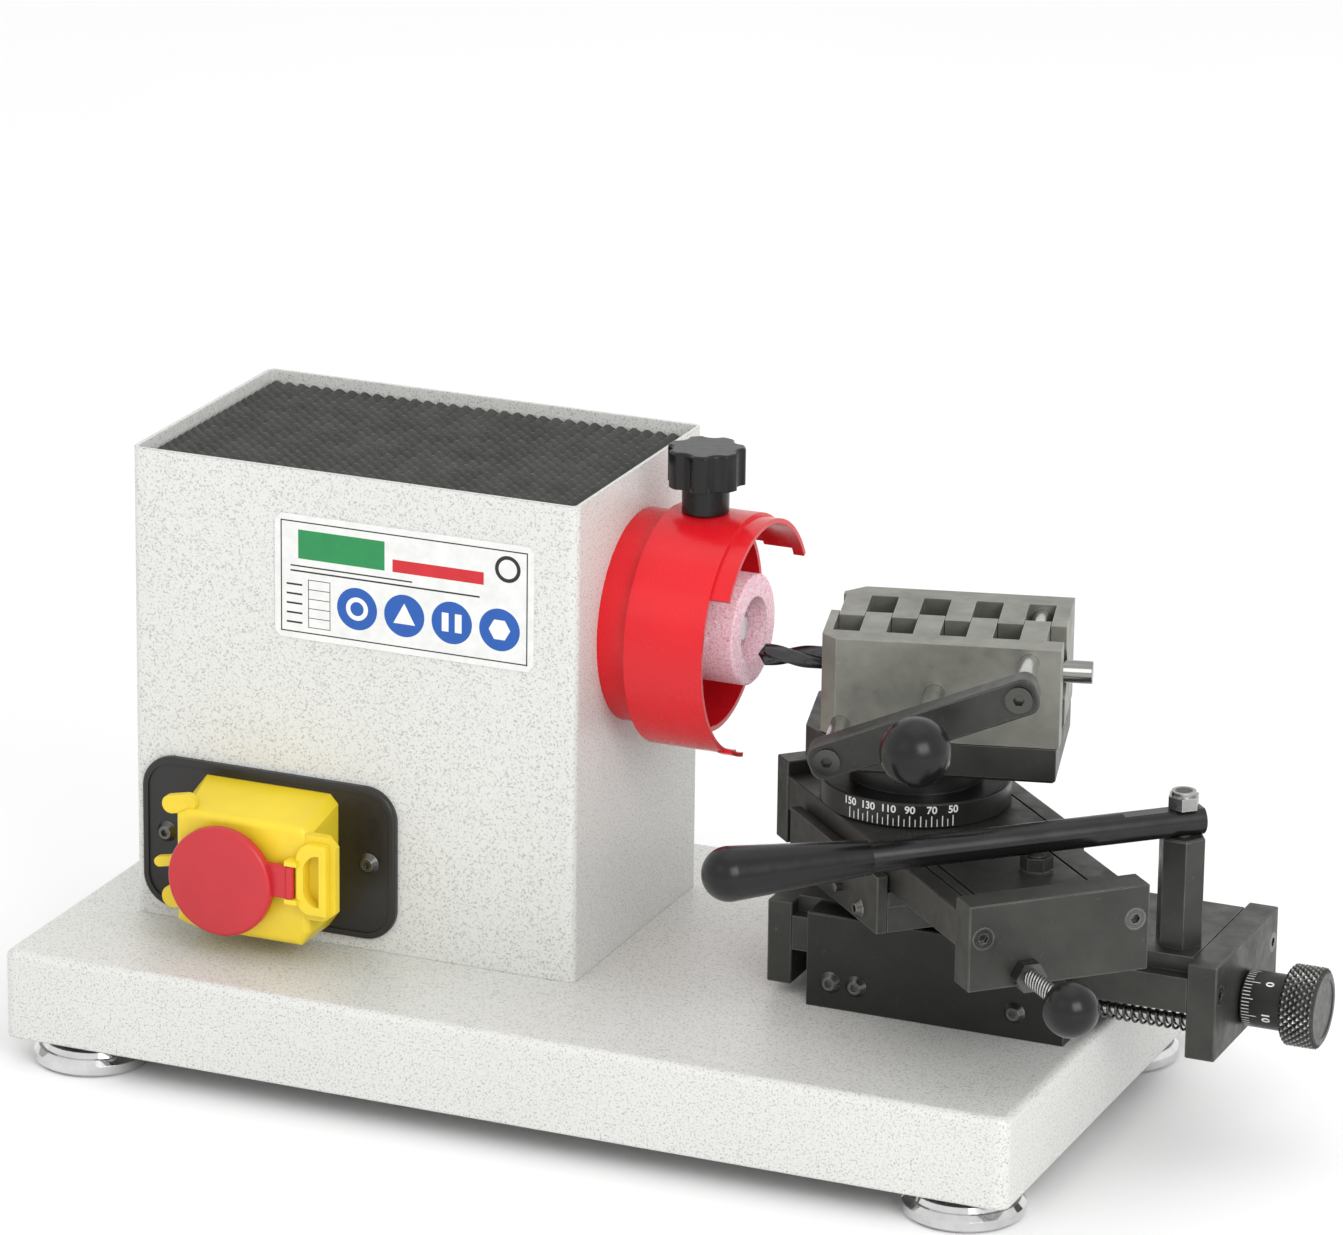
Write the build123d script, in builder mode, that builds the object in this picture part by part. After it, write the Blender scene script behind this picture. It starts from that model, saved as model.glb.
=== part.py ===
"""Bench drill bit sharpener: cup wheel grinder with a swivelling comb vise on a lever-driven cross slide.

Frame: +X runs along the spindle from the motor box to the feed knob, +Y to the back, +Z up.
The origin is the middle of the overall outline, on the surface that the feet stand on. Millimetres.
"""
import math
import os

from build123d import *

os.makedirs("parts", exist_ok=True)

# ---- machine datum: right-hand face of the motor box, spindle plane, top of the base ----
BOX_FACE_X = -39.15
SPINDLE_Y = 26.55
DECK_Z = 55.6
DATUM = Plane(origin=(BOX_FACE_X, SPINDLE_Y, DECK_Z))

# ---- base and feet ----
BASE_LEFT = -259.7
BASE_RIGHT = 240.3
BASE_FRONT = -145.4
BASE_BACK = 128.6
BASE_HEIGHT = 43.1
SHEET = 2.5
FOOT_RADIUS = 28.0
FOOT_HEIGHT = DECK_Z - BASE_HEIGHT
FOOT_INSET_LEFT = 35.5
FOOT_INSET_RIGHT = 27.5
FOOT_INSET_FRONT = 22.5
FOOT_INSET_BACK = 44.0

# ---- motor box ----
BOX_LENGTH = 226.3
BOX_DEPTH = 146.3
BOX_HEIGHT = 230.1
BOX_WALL = 2.0
TRAY_TOP = 221.6
MAT_THICK = 4.2
SPINDLE_Z = 158.5

# ---- wheel and guard ----
WHEEL_RADIUS = 26.0
WHEEL_FACE = 57.3
WHEEL_BACK = 25.0
CUP_RADIUS = 15.5
CUP_DEPTH = 15.0
COLLAR_RADIUS = 50.0
CAP_RADIUS = 56.3
CAP_Z = 156.3
CAP_WALL = 2.0
KNOB_X = 32.3

# ---- feed unit (slides along X) ----
BLOCK_LEFT = 107.0
BLOCK_RIGHT = 232.0
CHEEK_THICK = 8.0
BLOCK_HEIGHT = 45.3
UNIT_HALF = 43.6
FEED_LEFT = 84.2
FEED_RIGHT = 301.0
FEED_SCREW_Z = 17.5
POST_X = 274.3
POST_Y = -19.2
POST_TOP = 98.0

# ---- cross unit (slides at 45 degrees to the front) ----
SWIVEL_X = 138.8
CROSS_ANGLE = -45.0
TABLE_TOP = 89.0
TABLE_HALF = 43.0
FRONT_PLATE = 141.7
REAR_PLATE = -48.0
GUIDE_REAR = -30.0
GUIDE_FRONT = 70.0

# ---- lever ----
LEVER_ANGLE = 223.5
LEVER_Z = 104.5
LEVER_RADIUS = 7.0
LEVER_LENGTH = 230.5
FOLLOWER_ARM = 71.0

# ---- vise ----
VISE_ANGLE = 15.0
DIAL_RADIUS = 44.0
DIAL_TOP = 101.0
VISE_BASE_LOW = 113.0
JAW_LOW = 129.5
JAW_TOP = 176.6
JAW_HALF = 39.5
DRILL_Z = 154.0
DRILL_RADIUS = 5.25
FINGER_PITCH = 24.2
SPINE_INNER = 26.6
SLOPE_X = 42.5
SLOPE_Z = 17.1
BRIDGE_OUT = 90.0
PIN_RADIUS = 4.6

RUNNING = 0.05
GAP = 0.35


def frame_at(x, y, angle):
    """Upright frame at a point of the datum, with its own X turned by angle about Z."""
    turn = math.radians(angle)
    corner = DATUM.from_local_coords((x, y, 0))
    return Plane(origin=corner, x_dir=(math.cos(turn), math.sin(turn), 0), z_dir=(0, 0, 1))


def level(frame, z):
    """Horizontal plane of a frame at height z above the deck."""
    return frame.offset(z)


def facing_front(frame, y, x=0.0, z=0.0):
    """Plane whose normal is the frame's -Y; its sketch axes are the frame's X and Z."""
    return Plane(origin=frame.from_local_coords((x, y, z)), x_dir=frame.x_dir, z_dir=-frame.y_dir)


def facing_right(frame, x, y=0.0, z=0.0):
    """Plane whose normal is the frame's +X; its sketch axes are the frame's Y and Z."""
    return Plane(origin=frame.from_local_coords((x, y, z)), x_dir=frame.y_dir, z_dir=frame.x_dir)


MACHINE = frame_at(0, 0, 0)
CROSS = frame_at(SWIVEL_X, 0, CROSS_ANGLE)
VISE = frame_at(SWIVEL_X, 0, VISE_ANGLE)
LEVER = frame_at(POST_X, POST_Y, LEVER_ANGLE)
SPINDLE = facing_right(MACHINE, 0, 0, SPINDLE_Z)


def save(piece, name):
    """Name a finished piece and write it to its own STEP file."""
    piece.part.label = name
    export_step(piece.part, f"parts/{name}.step")


def block(frame, x_range, y_range, z_range, mode=Mode.ADD):
    """Add or cut a box given by its limits in a frame."""
    middle = ((x_range[0] + x_range[1]) / 2, (y_range[0] + y_range[1]) / 2)
    with BuildSketch(level(frame, z_range[0])) as outline:
        with Locations(middle):
            Rectangle(x_range[1] - x_range[0], y_range[1] - y_range[0])
    extrude(outline.sketch, amount=z_range[1] - z_range[0], mode=mode)


def rod(plane, radius, length, mode=Mode.ADD, points=((0, 0),)):
    """Add or cut round bars standing on a plane at the given sketch points."""
    with BuildSketch(plane) as outline:
        with Locations(*points):
            Circle(radius)
    extrude(outline.sketch, amount=length, mode=mode)


def ring(plane, outer, inner, length):
    """Add a tube standing on a plane."""
    with BuildSketch(plane) as outline:
        Circle(outer)
        Circle(inner, mode=Mode.SUBTRACT)
    extrude(outline.sketch, amount=length)


def hexagon(plane, across_flats, length, points=((0, 0),), turn=0.0):
    """Add hexagonal bars standing on a plane."""
    with BuildSketch(plane) as outline:
        with Locations(*points):
            RegularPolygon(across_flats / 2, 6, major_radius=False, rotation=turn)
    extrude(outline.sketch, amount=length)


# ======================= base =======================

FOOT_POINTS = [(x, y) for x in (BASE_LEFT + FOOT_INSET_LEFT, BASE_RIGHT - FOOT_INSET_RIGHT)
               for y in (BASE_FRONT + FOOT_INSET_FRONT, BASE_BACK - FOOT_INSET_BACK)]
BASE_MIDDLE = ((BASE_LEFT + BASE_RIGHT) / 2, (BASE_FRONT + BASE_BACK) / 2)


def make_base():
    """Folded sheet pan, open underneath."""
    with BuildPart() as base_pan:
        with BuildSketch(level(MACHINE, -BASE_HEIGHT)):
            with Locations(BASE_MIDDLE):
                RectangleRounded(BASE_RIGHT - BASE_LEFT, BASE_BACK - BASE_FRONT, 6)
        extrude(amount=BASE_HEIGHT)
        fillet(base_pan.faces().sort_by(Axis.Z)[-1].edges(), 4)
        with BuildSketch(level(MACHINE, -BASE_HEIGHT)):
            with Locations(BASE_MIDDLE):
                RectangleRounded(BASE_RIGHT - BASE_LEFT - 2 * SHEET, BASE_BACK - BASE_FRONT - 2 * SHEET, 3.5)
        extrude(amount=BASE_HEIGHT - SHEET, mode=Mode.SUBTRACT)
    save(base_pan, "base_pan")


def make_feet():
    """Corner brackets with welded nuts, and the levelling feet whose studs screw into them."""
    plate_low = -BASE_HEIGHT
    plate_thick = 4.0
    with BuildPart() as foot_brackets:
        for x, y in FOOT_POINTS:
            x_wall = BASE_LEFT + SHEET if x < 0 else BASE_RIGHT - SHEET
            y_wall = BASE_FRONT + SHEET if y < 0 else BASE_BACK - SHEET
            reach_x = 56 if x < 0 else -50
            reach_y = 50 if y < 0 else -62
            block(MACHINE, sorted((x_wall, x_wall + reach_x)), sorted((y_wall, y_wall + reach_y)),
                  (plate_low, plate_low + plate_thick))
        fillet(foot_brackets.edges().filter_by(Axis.Z), 4)
        hexagon(level(MACHINE, plate_low + plate_thick), 17, 8, FOOT_POINTS)
        rod(level(MACHINE, plate_low), 5.0, plate_thick + 8, Mode.SUBTRACT, FOOT_POINTS)
    save(foot_brackets, "foot_brackets")

    with BuildPart() as levelling_feet:
        for x, y in FOOT_POINTS:
            with BuildSketch(Plane(origin=DATUM.from_local_coords((x, y, -DECK_Z)), x_dir=(1, 0, 0),
                                   z_dir=(0, -1, 0))) as outline:
                with BuildLine():
                    Polyline((0, 0), (FOOT_RADIUS - 2.0, 0), (FOOT_RADIUS, 1.6), (FOOT_RADIUS, 5.6),
                             (FOOT_RADIUS - 2.4, 8.0), (24.0, 8.0), (23.0, 10.6), (18.5, 10.6), (17.5, 9.0),
                             (9.0, 9.0), (8.0, FOOT_HEIGHT), (5.0, FOOT_HEIGHT), (5.0, 29.0), (0, 29.0), (0, 0))
                make_face()
            revolve(axis=Axis(outline.workplanes[0].origin, (0, 0, 1)))
    save(levelling_feet, "levelling_feet")


# ======================= motor box =======================

def make_motor_box():
    """Sheet housing: foot flange, tray floor, shaft hole, switch window, screw holes, gland hole, louvres."""
    middle = (-BOX_LENGTH / 2, 0)
    inner_length = BOX_LENGTH - 2 * BOX_WALL
    inner_depth = BOX_DEPTH - 2 * BOX_WALL
    with BuildPart() as motor_box:
        with BuildSketch(level(MACHINE, 0)):
            with Locations(middle):
                RectangleRounded(BOX_LENGTH, BOX_DEPTH, 4)
        extrude(amount=BOX_HEIGHT)
        for low, high in ((BOX_WALL, TRAY_TOP - BOX_WALL), (TRAY_TOP, BOX_HEIGHT)):
            with BuildSketch(level(MACHINE, low)):
                with Locations(middle):
                    RectangleRounded(inner_length, inner_depth, 2)
            extrude(amount=high - low, mode=Mode.SUBTRACT)
        with BuildSketch(level(MACHINE, 0)):
            with Locations(middle):
                RectangleRounded(inner_length - 28, inner_depth - 28, 3)
        extrude(amount=BOX_WALL, mode=Mode.SUBTRACT)
        with BuildSketch(facing_right(MACHINE, -10, 0, SPINDLE_Z)):
            Circle(24)
        extrude(amount=20, mode=Mode.SUBTRACT)
        block(MACHINE, (-190, -120), (-BOX_DEPTH / 2 - 5, -BOX_DEPTH / 2 + 5), (16, 72), Mode.SUBTRACT)
        rod(facing_front(MACHINE, -BOX_DEPTH / 2 + 5), 2.6, 10, Mode.SUBTRACT, SWITCH_SCREW_POINTS)
        with BuildSketch(facing_front(MACHINE, BOX_DEPTH / 2 + 5, GLAND_X, GLAND_Z)):
            Circle(GLAND_RADIUS)
        extrude(amount=10, mode=Mode.SUBTRACT)
        with BuildSketch(facing_front(MACHINE, BOX_DEPTH / 2 + 5, -BOX_LENGTH / 2, 150)):
            with GridLocations(0, 12, 1, 7):
                SlotOverall(90, 4.5)
        extrude(amount=10, mode=Mode.SUBTRACT)
    save(motor_box, "motor_box")

    with BuildPart() as rubber_mat:
        with BuildSketch(level(MACHINE, TRAY_TOP)):
            with Locations(middle):
                Rectangle(inner_length - 1.5, inner_depth - 1.5)
        extrude(amount=MAT_THICK)
    save(rubber_mat, "rubber_mat")

    with BuildPart() as rating_plate:
        with BuildSketch(facing_front(MACHINE, -BOX_DEPTH / 2, -86.5, 178.6)):
            Rectangle(131, 60)
        extrude(amount=0.8)
        edges = rating_plate.edges().filter_by(Axis.Y)
        chamfer(edges, 3)
    save(rating_plate, "rating_plate")


GLAND_X = -180.0
GLAND_Z = 30.0
GLAND_RADIUS = 8.0
SWITCH_SCREW_POINTS = ((-208.5, 43.8), (-103.4, 43.8))


def make_motor():
    """Induction motor on a cradle in the box, with its capacitor and terminal block."""
    body_left = -186.0
    body_right = -74.0
    casing_radius = 55.0
    with BuildPart() as motor_cradle:
        with BuildSketch(facing_right(MACHINE, body_left + 8)):
            with BuildLine():
                Polyline((-56, 0), (56, 0), (56, 3), (44, 3), (44, SPINDLE_Z - 20), (-44, SPINDLE_Z - 20),
                         (-44, 3), (-56, 3), (-56, 0))
            make_face()
            with Locations((0, SPINDLE_Z)):
                Circle(casing_radius, mode=Mode.SUBTRACT)
            with Locations((0, 45)):
                RectangleRounded(76, 84, 6, mode=Mode.SUBTRACT)
        extrude(amount=body_right - body_left - 16)
    save(motor_cradle, "motor_cradle")

    with BuildPart() as motor_casing:
        ring(SPINDLE.offset(body_left), casing_radius, 52, body_right - body_left)
        for start, boss in ((body_left - 6, body_left - 14), (body_right, body_right + 6)):
            ring(SPINDLE.offset(start), casing_radius, BEARING_OUTER, 6)
            ring(SPINDLE.offset(boss), 24, BEARING_OUTER, 8)
    save(motor_casing, "motor_casing")

    with BuildPart() as motor_bearings:
        for start in (body_left - 12, body_right + 1):
            ring(SPINDLE.offset(start), BEARING_OUTER, BEARING_BORE, 11)
    save(motor_bearings, "motor_bearings")

    with BuildPart() as motor_stator:
        ring(SPINDLE.offset(-160), 52, 31, 60)
        ring(SPINDLE.offset(-176), 46, 33, 16)
        ring(SPINDLE.offset(-100), 46, 33, 16)
    save(motor_stator, "motor_stator")

    with BuildPart() as motor_rotor:
        ring(SPINDLE.offset(-162), 30.6, SHAFT_RADIUS, 64)
    save(motor_rotor, "motor_rotor")

    with BuildPart() as cooling_fan:
        ring(SPINDLE.offset(-215), 12, SHAFT_RADIUS, 12)
        ring(SPINDLE.offset(-205), 44, 11, 2)
        with BuildSketch(SPINDLE.offset(-215)):
            with PolarLocations(27, 8):
                Rectangle(32, 1.6)
        extrude(amount=10)
    save(cooling_fan, "cooling_fan")

    with BuildPart() as motor_electrics:
        rod(facing_right(MACHINE, -70, 34, 18), 18, 50)
        rod(facing_right(MACHINE, -74, 34, 18), 5, 4)
        block(MACHINE, (-62, -22), (-20, 0), (0, 18))
        with BuildSketch(level(MACHINE, 18)):
            with Locations((-42, -10)):
                with GridLocations(9, 0, 4, 1):
                    Circle(2.6)
        extrude(amount=-6, mode=Mode.SUBTRACT)
    save(motor_electrics, "motor_electrics")

    with BuildPart() as cable_gland:
        back = facing_front(MACHINE, BOX_DEPTH / 2 + 12, GLAND_X, GLAND_Z)
        hexagon(facing_front(MACHINE, BOX_DEPTH / 2 + 5, GLAND_X, GLAND_Z), 22, 5)
        rod(back, 9.5, 7)
        rod(facing_front(MACHINE, BOX_DEPTH / 2, GLAND_X, GLAND_Z), GLAND_RADIUS, 12)
        hexagon(facing_front(MACHINE, BOX_DEPTH / 2 - BOX_WALL, GLAND_X, GLAND_Z), 20, 4)
        rod(back, CABLE_BORE, 30, Mode.SUBTRACT)
    save(cable_gland, "cable_gland")


BEARING_OUTER = 17.5
BEARING_BORE = 7.5
SHAFT_RADIUS = BEARING_BORE - RUNNING
CABLE_BORE = 4.0


# ======================= spindle and guard =======================

def make_spindle():
    """Motor shaft with a flange, and the wheel clamped against it by a nut inside the cup."""
    arbor_radius = 6.35
    recess = WHEEL_FACE - CUP_DEPTH
    with BuildPart() as rotor_shaft:
        rod(SPINDLE.offset(-216), SHAFT_RADIUS, 216 + 12)
        rod(SPINDLE.offset(12), arbor_radius, WHEEL_FACE - 5 - 12)
        chamfer(rotor_shaft.faces().sort_by(Axis.X)[-1].edges(), 1)
        rod(SPINDLE.offset(12), 12, 7)
        rod(SPINDLE.offset(19), 18, WHEEL_BACK - 19)
    save(rotor_shaft, "rotor_shaft")

    with BuildPart() as grinding_wheel:
        rod(SPINDLE.offset(WHEEL_BACK), WHEEL_RADIUS, WHEEL_FACE - WHEEL_BACK)
        chamfer(grinding_wheel.faces().sort_by(Axis.X)[-1].edges(), 0.8)
        rod(SPINDLE.offset(recess), CUP_RADIUS, CUP_DEPTH, Mode.SUBTRACT)
        rod(SPINDLE.offset(WHEEL_BACK), arbor_radius, WHEEL_FACE - WHEEL_BACK, Mode.SUBTRACT)
    save(grinding_wheel, "grinding_wheel")

    with BuildPart() as wheel_nut:
        ring(SPINDLE.offset(recess), 11, arbor_radius, 1.6)
        hexagon(SPINDLE.offset(recess + 1.6), 19, 6.5)
        rod(SPINDLE.offset(recess), arbor_radius, 10, Mode.SUBTRACT)
    save(wheel_nut, "wheel_nut")


def sector(plane, outer, inner, start, end, length):
    """Add a tube wall between two angles; angles run from the plane's X towards its Y."""
    first = math.radians(start)
    last = math.radians(end)
    half = (first + last) / 2

    def at(radius, angle):
        return (radius * math.cos(angle), radius * math.sin(angle))

    with BuildSketch(plane) as outline:
        with BuildLine():
            ThreePointArc(at(outer, first), at(outer, half), at(outer, last))
            Line(at(outer, last), at(inner, last))
            ThreePointArc(at(inner, last), at(inner, half), at(inner, first))
            Line(at(inner, first), at(outer, first))
        make_face()
    extrude(outline.sketch, amount=length)


def make_guard():
    """Fixed collar, sliding cap that hangs on it with a visor, and the knob that clamps it through a slot."""
    collar_inner = COLLAR_RADIUS - 2.4
    stud_plane = level(MACHINE, SPINDLE_Z)
    with BuildPart() as guard_collar:
        ring(SPINDLE, COLLAR_RADIUS, 22, 2.5)
        ring(SPINDLE, COLLAR_RADIUS, collar_inner, COLLAR_LENGTH)
        block(MACHINE, (KNOB_X - 7, COLLAR_LENGTH), (-8, 8),
              (SPINDLE_Z + collar_inner - 8, SPINDLE_Z + collar_inner + 0.5))
        rod(stud_plane, 4.0, COLLAR_RADIUS + 4, Mode.SUBTRACT, ((KNOB_X, 0),))
    save(guard_collar, "guard_collar")

    cap_plane = facing_right(MACHINE, 0, 0, CAP_Z)
    cap_inner = CAP_RADIUS - CAP_WALL
    with BuildPart() as guard_cap:
        with BuildSketch(cap_plane.offset(CAP_REAR)):
            Circle(CAP_RADIUS)
            with Locations((0, SPINDLE_Z - CAP_Z)):
                Circle(COLLAR_RADIUS + GAP, mode=Mode.SUBTRACT)
        extrude(amount=CAP_LIP)
        ring(cap_plane.offset(CAP_REAR + CAP_LIP), CAP_RADIUS, cap_inner, CAP_FRONT - CAP_REAR - CAP_LIP)
        with BuildSketch(cap_plane.offset(CAP_NOTCH)) as notch:
            fan = [(80 * math.cos(math.radians(angle)), 80 * math.sin(math.radians(angle)))
                   for angle in (34, 0, -35, -70, -103)]
            with BuildLine():
                Polyline((0, 0), *fan, (0, 0))
            make_face()
        extrude(notch.sketch, amount=CAP_FRONT - CAP_NOTCH + 1, mode=Mode.SUBTRACT)
        sector(cap_plane.offset(VISOR_REAR), cap_inner + 0.4, cap_inner - 1.8, 29, 147, VISOR_FRONT - VISOR_REAR)
        sector(cap_plane.offset(CAP_FRONT - 3), CAP_RADIUS + 0.6, CAP_RADIUS - 1.4, 241, 256, TAB_LENGTH)
        with BuildSketch(stud_plane.offset(40)):
            with Locations((KNOB_X - 0.5, 0)):
                SlotCenterToCenter(CAP_TRAVEL, 8.8)
        extrude(amount=30, mode=Mode.SUBTRACT)
    save(guard_cap, "guard_cap")

    seat = CAP_Z + CAP_RADIUS + 0.4
    with BuildPart() as guard_knob:
        rod(level(MACHINE, seat), 11.0, 13, Mode.ADD, ((KNOB_X, 0),))
        with BuildSketch(level(MACHINE, seat + 13)) as head:
            with Locations((KNOB_X, 0)):
                Circle(18.2)
                with PolarLocations(21.5, 7):
                    Circle(6.0, mode=Mode.SUBTRACT)
            fillet(head.vertices(), 2.0)
        extrude(amount=17.5)
        fillet(guard_knob.faces().sort_by(Axis.Z)[-1].edges(), 1.5)
        rod(level(MACHINE, seat - 16), 4.0 - RUNNING, 17, Mode.ADD, ((KNOB_X, 0),))
    save(guard_knob, "guard_knob")


COLLAR_LENGTH = 41.0
CAP_REAR = 15.8
CAP_LIP = 2.5
CAP_NOTCH = 28.0
CAP_FRONT = 54.4
VISOR_REAR = 44.0
VISOR_FRONT = 63.3
TAB_LENGTH = 7.0
CAP_TRAVEL = 11.0


# ======================= switch =======================

SWITCH_FACE = -BOX_DEPTH / 2
PLATE_THICK = 3.5
HOUSING_FRONT = SWITCH_FACE - 34.0
PADDLE_X = -161.0
PADDLE_Z = 39.2
PADDLE_RADIUS = 26.4
PADDLE_THICK = 5.0
ARM_LOW = 35.5
ARM_HIGH = 51.0
HINGE_X = -126.9
HINGE_Y = HOUSING_FRONT - 4.5
HINGE_RADIUS = 1.2
BARREL_RADIUS = 2.2
EYELET_LEFT = -124.3
EYELET_RIGHT = -108.5
EYELET_Z = 45.0
EYELET_DEPTH = 5.5
BUTTON_Z = 40.0


def hinge_plane(z):
    """Plane across the paddle's hinge pin at a height above the base."""
    return Plane(origin=MACHINE.from_local_coords((HINGE_X, HINGE_Y, z)))


def eyelet_outline(plane, left, right, half):
    """Closed loop on a plane, with a bowed left side and a straight right side."""
    top = EYELET_Z + half
    bottom = EYELET_Z - half
    with BuildSketch(plane) as outline:
        with BuildLine():
            Polyline((left + 6, bottom), (right, bottom), (right, top), (left + 6, top))
            ThreePointArc((left + 6, top), (left + 1.6, top - 3.0), (left, top - 9))
            Line((left, top - 9), (left, bottom + 9))
            ThreePointArc((left, bottom + 9), (left + 1.6, bottom + 3.0), (left + 6, bottom))
        make_face()
    return outline.sketch


def make_switch():
    """Emergency-stop switch: back plate, yellow housing, two buttons and a hinged red paddle."""
    plate_plane = facing_front(MACHINE, SWITCH_FACE, -155.3, 43.8)
    with BuildPart() as switch_plate:
        with BuildSketch(plate_plane):
            RectangleRounded(131.4, 75, 16)
        extrude(amount=PLATE_THICK)
        fillet(switch_plate.faces().sort_by(Axis.Y)[0].edges(), 1.2)
        with BuildSketch(plate_plane.offset(PLATE_THICK)):
            RectangleRounded(125, 68.6, 13)
        extrude(amount=-1.0, mode=Mode.SUBTRACT)
        block(MACHINE, (-188, -122), (SWITCH_FACE - 5, SWITCH_FACE + 5), (18, 70), Mode.SUBTRACT)
        rod(facing_front(MACHINE, SWITCH_FACE + 5), 2.6, 12, Mode.SUBTRACT, SWITCH_SCREW_POINTS)
    save(switch_plate, "switch_plate")

    with BuildPart() as switch_body:
        block(MACHINE, (-187.5, -122.5), (SWITCH_FACE - 2.3, SWITCH_FACE + 22), (18.5, 69.5))
        for x in (-176, -155, -134):
            block(MACHINE, (x - 3, x + 3), (SWITCH_FACE + 22, SWITCH_FACE + 28), (30, 58))
    save(switch_body, "switch_body")

    with BuildPart() as switch_housing:
        with BuildSketch(facing_front(MACHINE, SWITCH_FACE - 2.5)) as root:
            with BuildLine():
                Polyline((-189, 13), (-172, 10), (-124, 10), (-119, 17), (-119, 71), (-123, 75.5), (-187, 75.5),
                         (-189, 73), (-189, 13))
            make_face()
        with BuildSketch(facing_front(MACHINE, HOUSING_FRONT)) as crown:
            with BuildLine():
                Polyline((-188, 13), (-178, 10), (-124, 10), (-119.5, 17), (-119.5, 64), (-123, 68), (-182, 68),
                         (-188, 65), (-188, 13))
            make_face()
        loft([root.sketch.face(), crown.sketch.face()])
        fillet(switch_housing.faces().sort_by(Axis.Y)[0].edges(), 3.5)
        block(MACHINE, (-184, -122.3), (HOUSING_FRONT + 6, SWITCH_FACE - 2.0), (18, 60), Mode.SUBTRACT)
        rod(facing_front(MACHINE, HOUSING_FRONT + 10), BUTTON_RADIUS + GAP, 30, Mode.SUBTRACT,
            ((START_X, BUTTON_Z), (STOP_X, BUTTON_Z)))
        for x, z, width in ((-187.5, 70, 9), (-192, 41, 5), (-188, 24, 11)):
            with BuildSketch(facing_front(MACHINE, HOUSING_FRONT + 6.0, x, z)) as ear:
                SlotOverall(18, width, rotation=12)
            extrude(ear.sketch, amount=3.0)
        with BuildSketch(facing_front(MACHINE, HOUSING_FRONT + 4.5)) as flap:
            with BuildLine():
                Polyline((-121, 24), (-112, 24), (-105.5, 29), (-105.5, 61), (-110, 66), (-121, 66), (-121, 24))
            make_face()
        extrude(flap.sketch, amount=4.0)
        eyelet = facing_front(MACHINE, HOUSING_FRONT + 1.0)
        extrude(eyelet_outline(eyelet, EYELET_LEFT, EYELET_RIGHT, 17.5), amount=EYELET_DEPTH)
        fillet(switch_housing.faces().sort_by(Axis.Y)[0].edges(), 1.5)
        extrude(eyelet_outline(eyelet.offset(-1.0), EYELET_LEFT + 4.5, EYELET_RIGHT - 3.5, 12.5),
                amount=EYELET_DEPTH + 2, mode=Mode.SUBTRACT)
        for low, high in ((ARM_LOW - 2.9, ARM_LOW - GAP), (ARM_HIGH + GAP, ARM_HIGH + 2.9)):
            block(MACHINE, (HINGE_X - 1.9, EYELET_LEFT + 2), (HINGE_Y - 1.9, HOUSING_FRONT + 1), (low, high))
        rod(hinge_plane(ARM_LOW - 2.5), HINGE_RADIUS, ARM_HIGH - ARM_LOW + 5.0)
    save(switch_housing, "switch_housing")

    for name, x in (("start_button", START_X), ("stop_button", STOP_X)):
        with BuildPart() as button:
            rod(facing_front(MACHINE, HOUSING_FRONT + 12, x, BUTTON_Z), BUTTON_RADIUS, 14)
            chamfer(button.faces().sort_by(Axis.Y)[0].edges(), 0.8)
            rod(facing_front(MACHINE, HOUSING_FRONT + 22, x, BUTTON_Z), 3, 12)
        save(button, name)

    with BuildPart() as stop_paddle:
        rod(facing_front(MACHINE, HOUSING_FRONT - 5, PADDLE_X, PADDLE_Z), PADDLE_RADIUS, PADDLE_THICK)
        fillet(stop_paddle.faces().sort_by(Axis.Y)[0].edges(), 1.8)
        block(MACHINE, (PADDLE_X + 22, HINGE_X), (HINGE_Y - 1.7, HINGE_Y + 1.7), (ARM_LOW, ARM_HIGH))
        rod(hinge_plane(ARM_LOW), BARREL_RADIUS, ARM_HIGH - ARM_LOW)
        rod(hinge_plane(ARM_LOW - 2), HINGE_RADIUS + RUNNING, ARM_HIGH - ARM_LOW + 4, Mode.SUBTRACT)
    save(stop_paddle, "stop_paddle")


START_X = -148.0
STOP_X = -169.0
BUTTON_RADIUS = 9.0


# ======================= feed unit =======================

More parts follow.
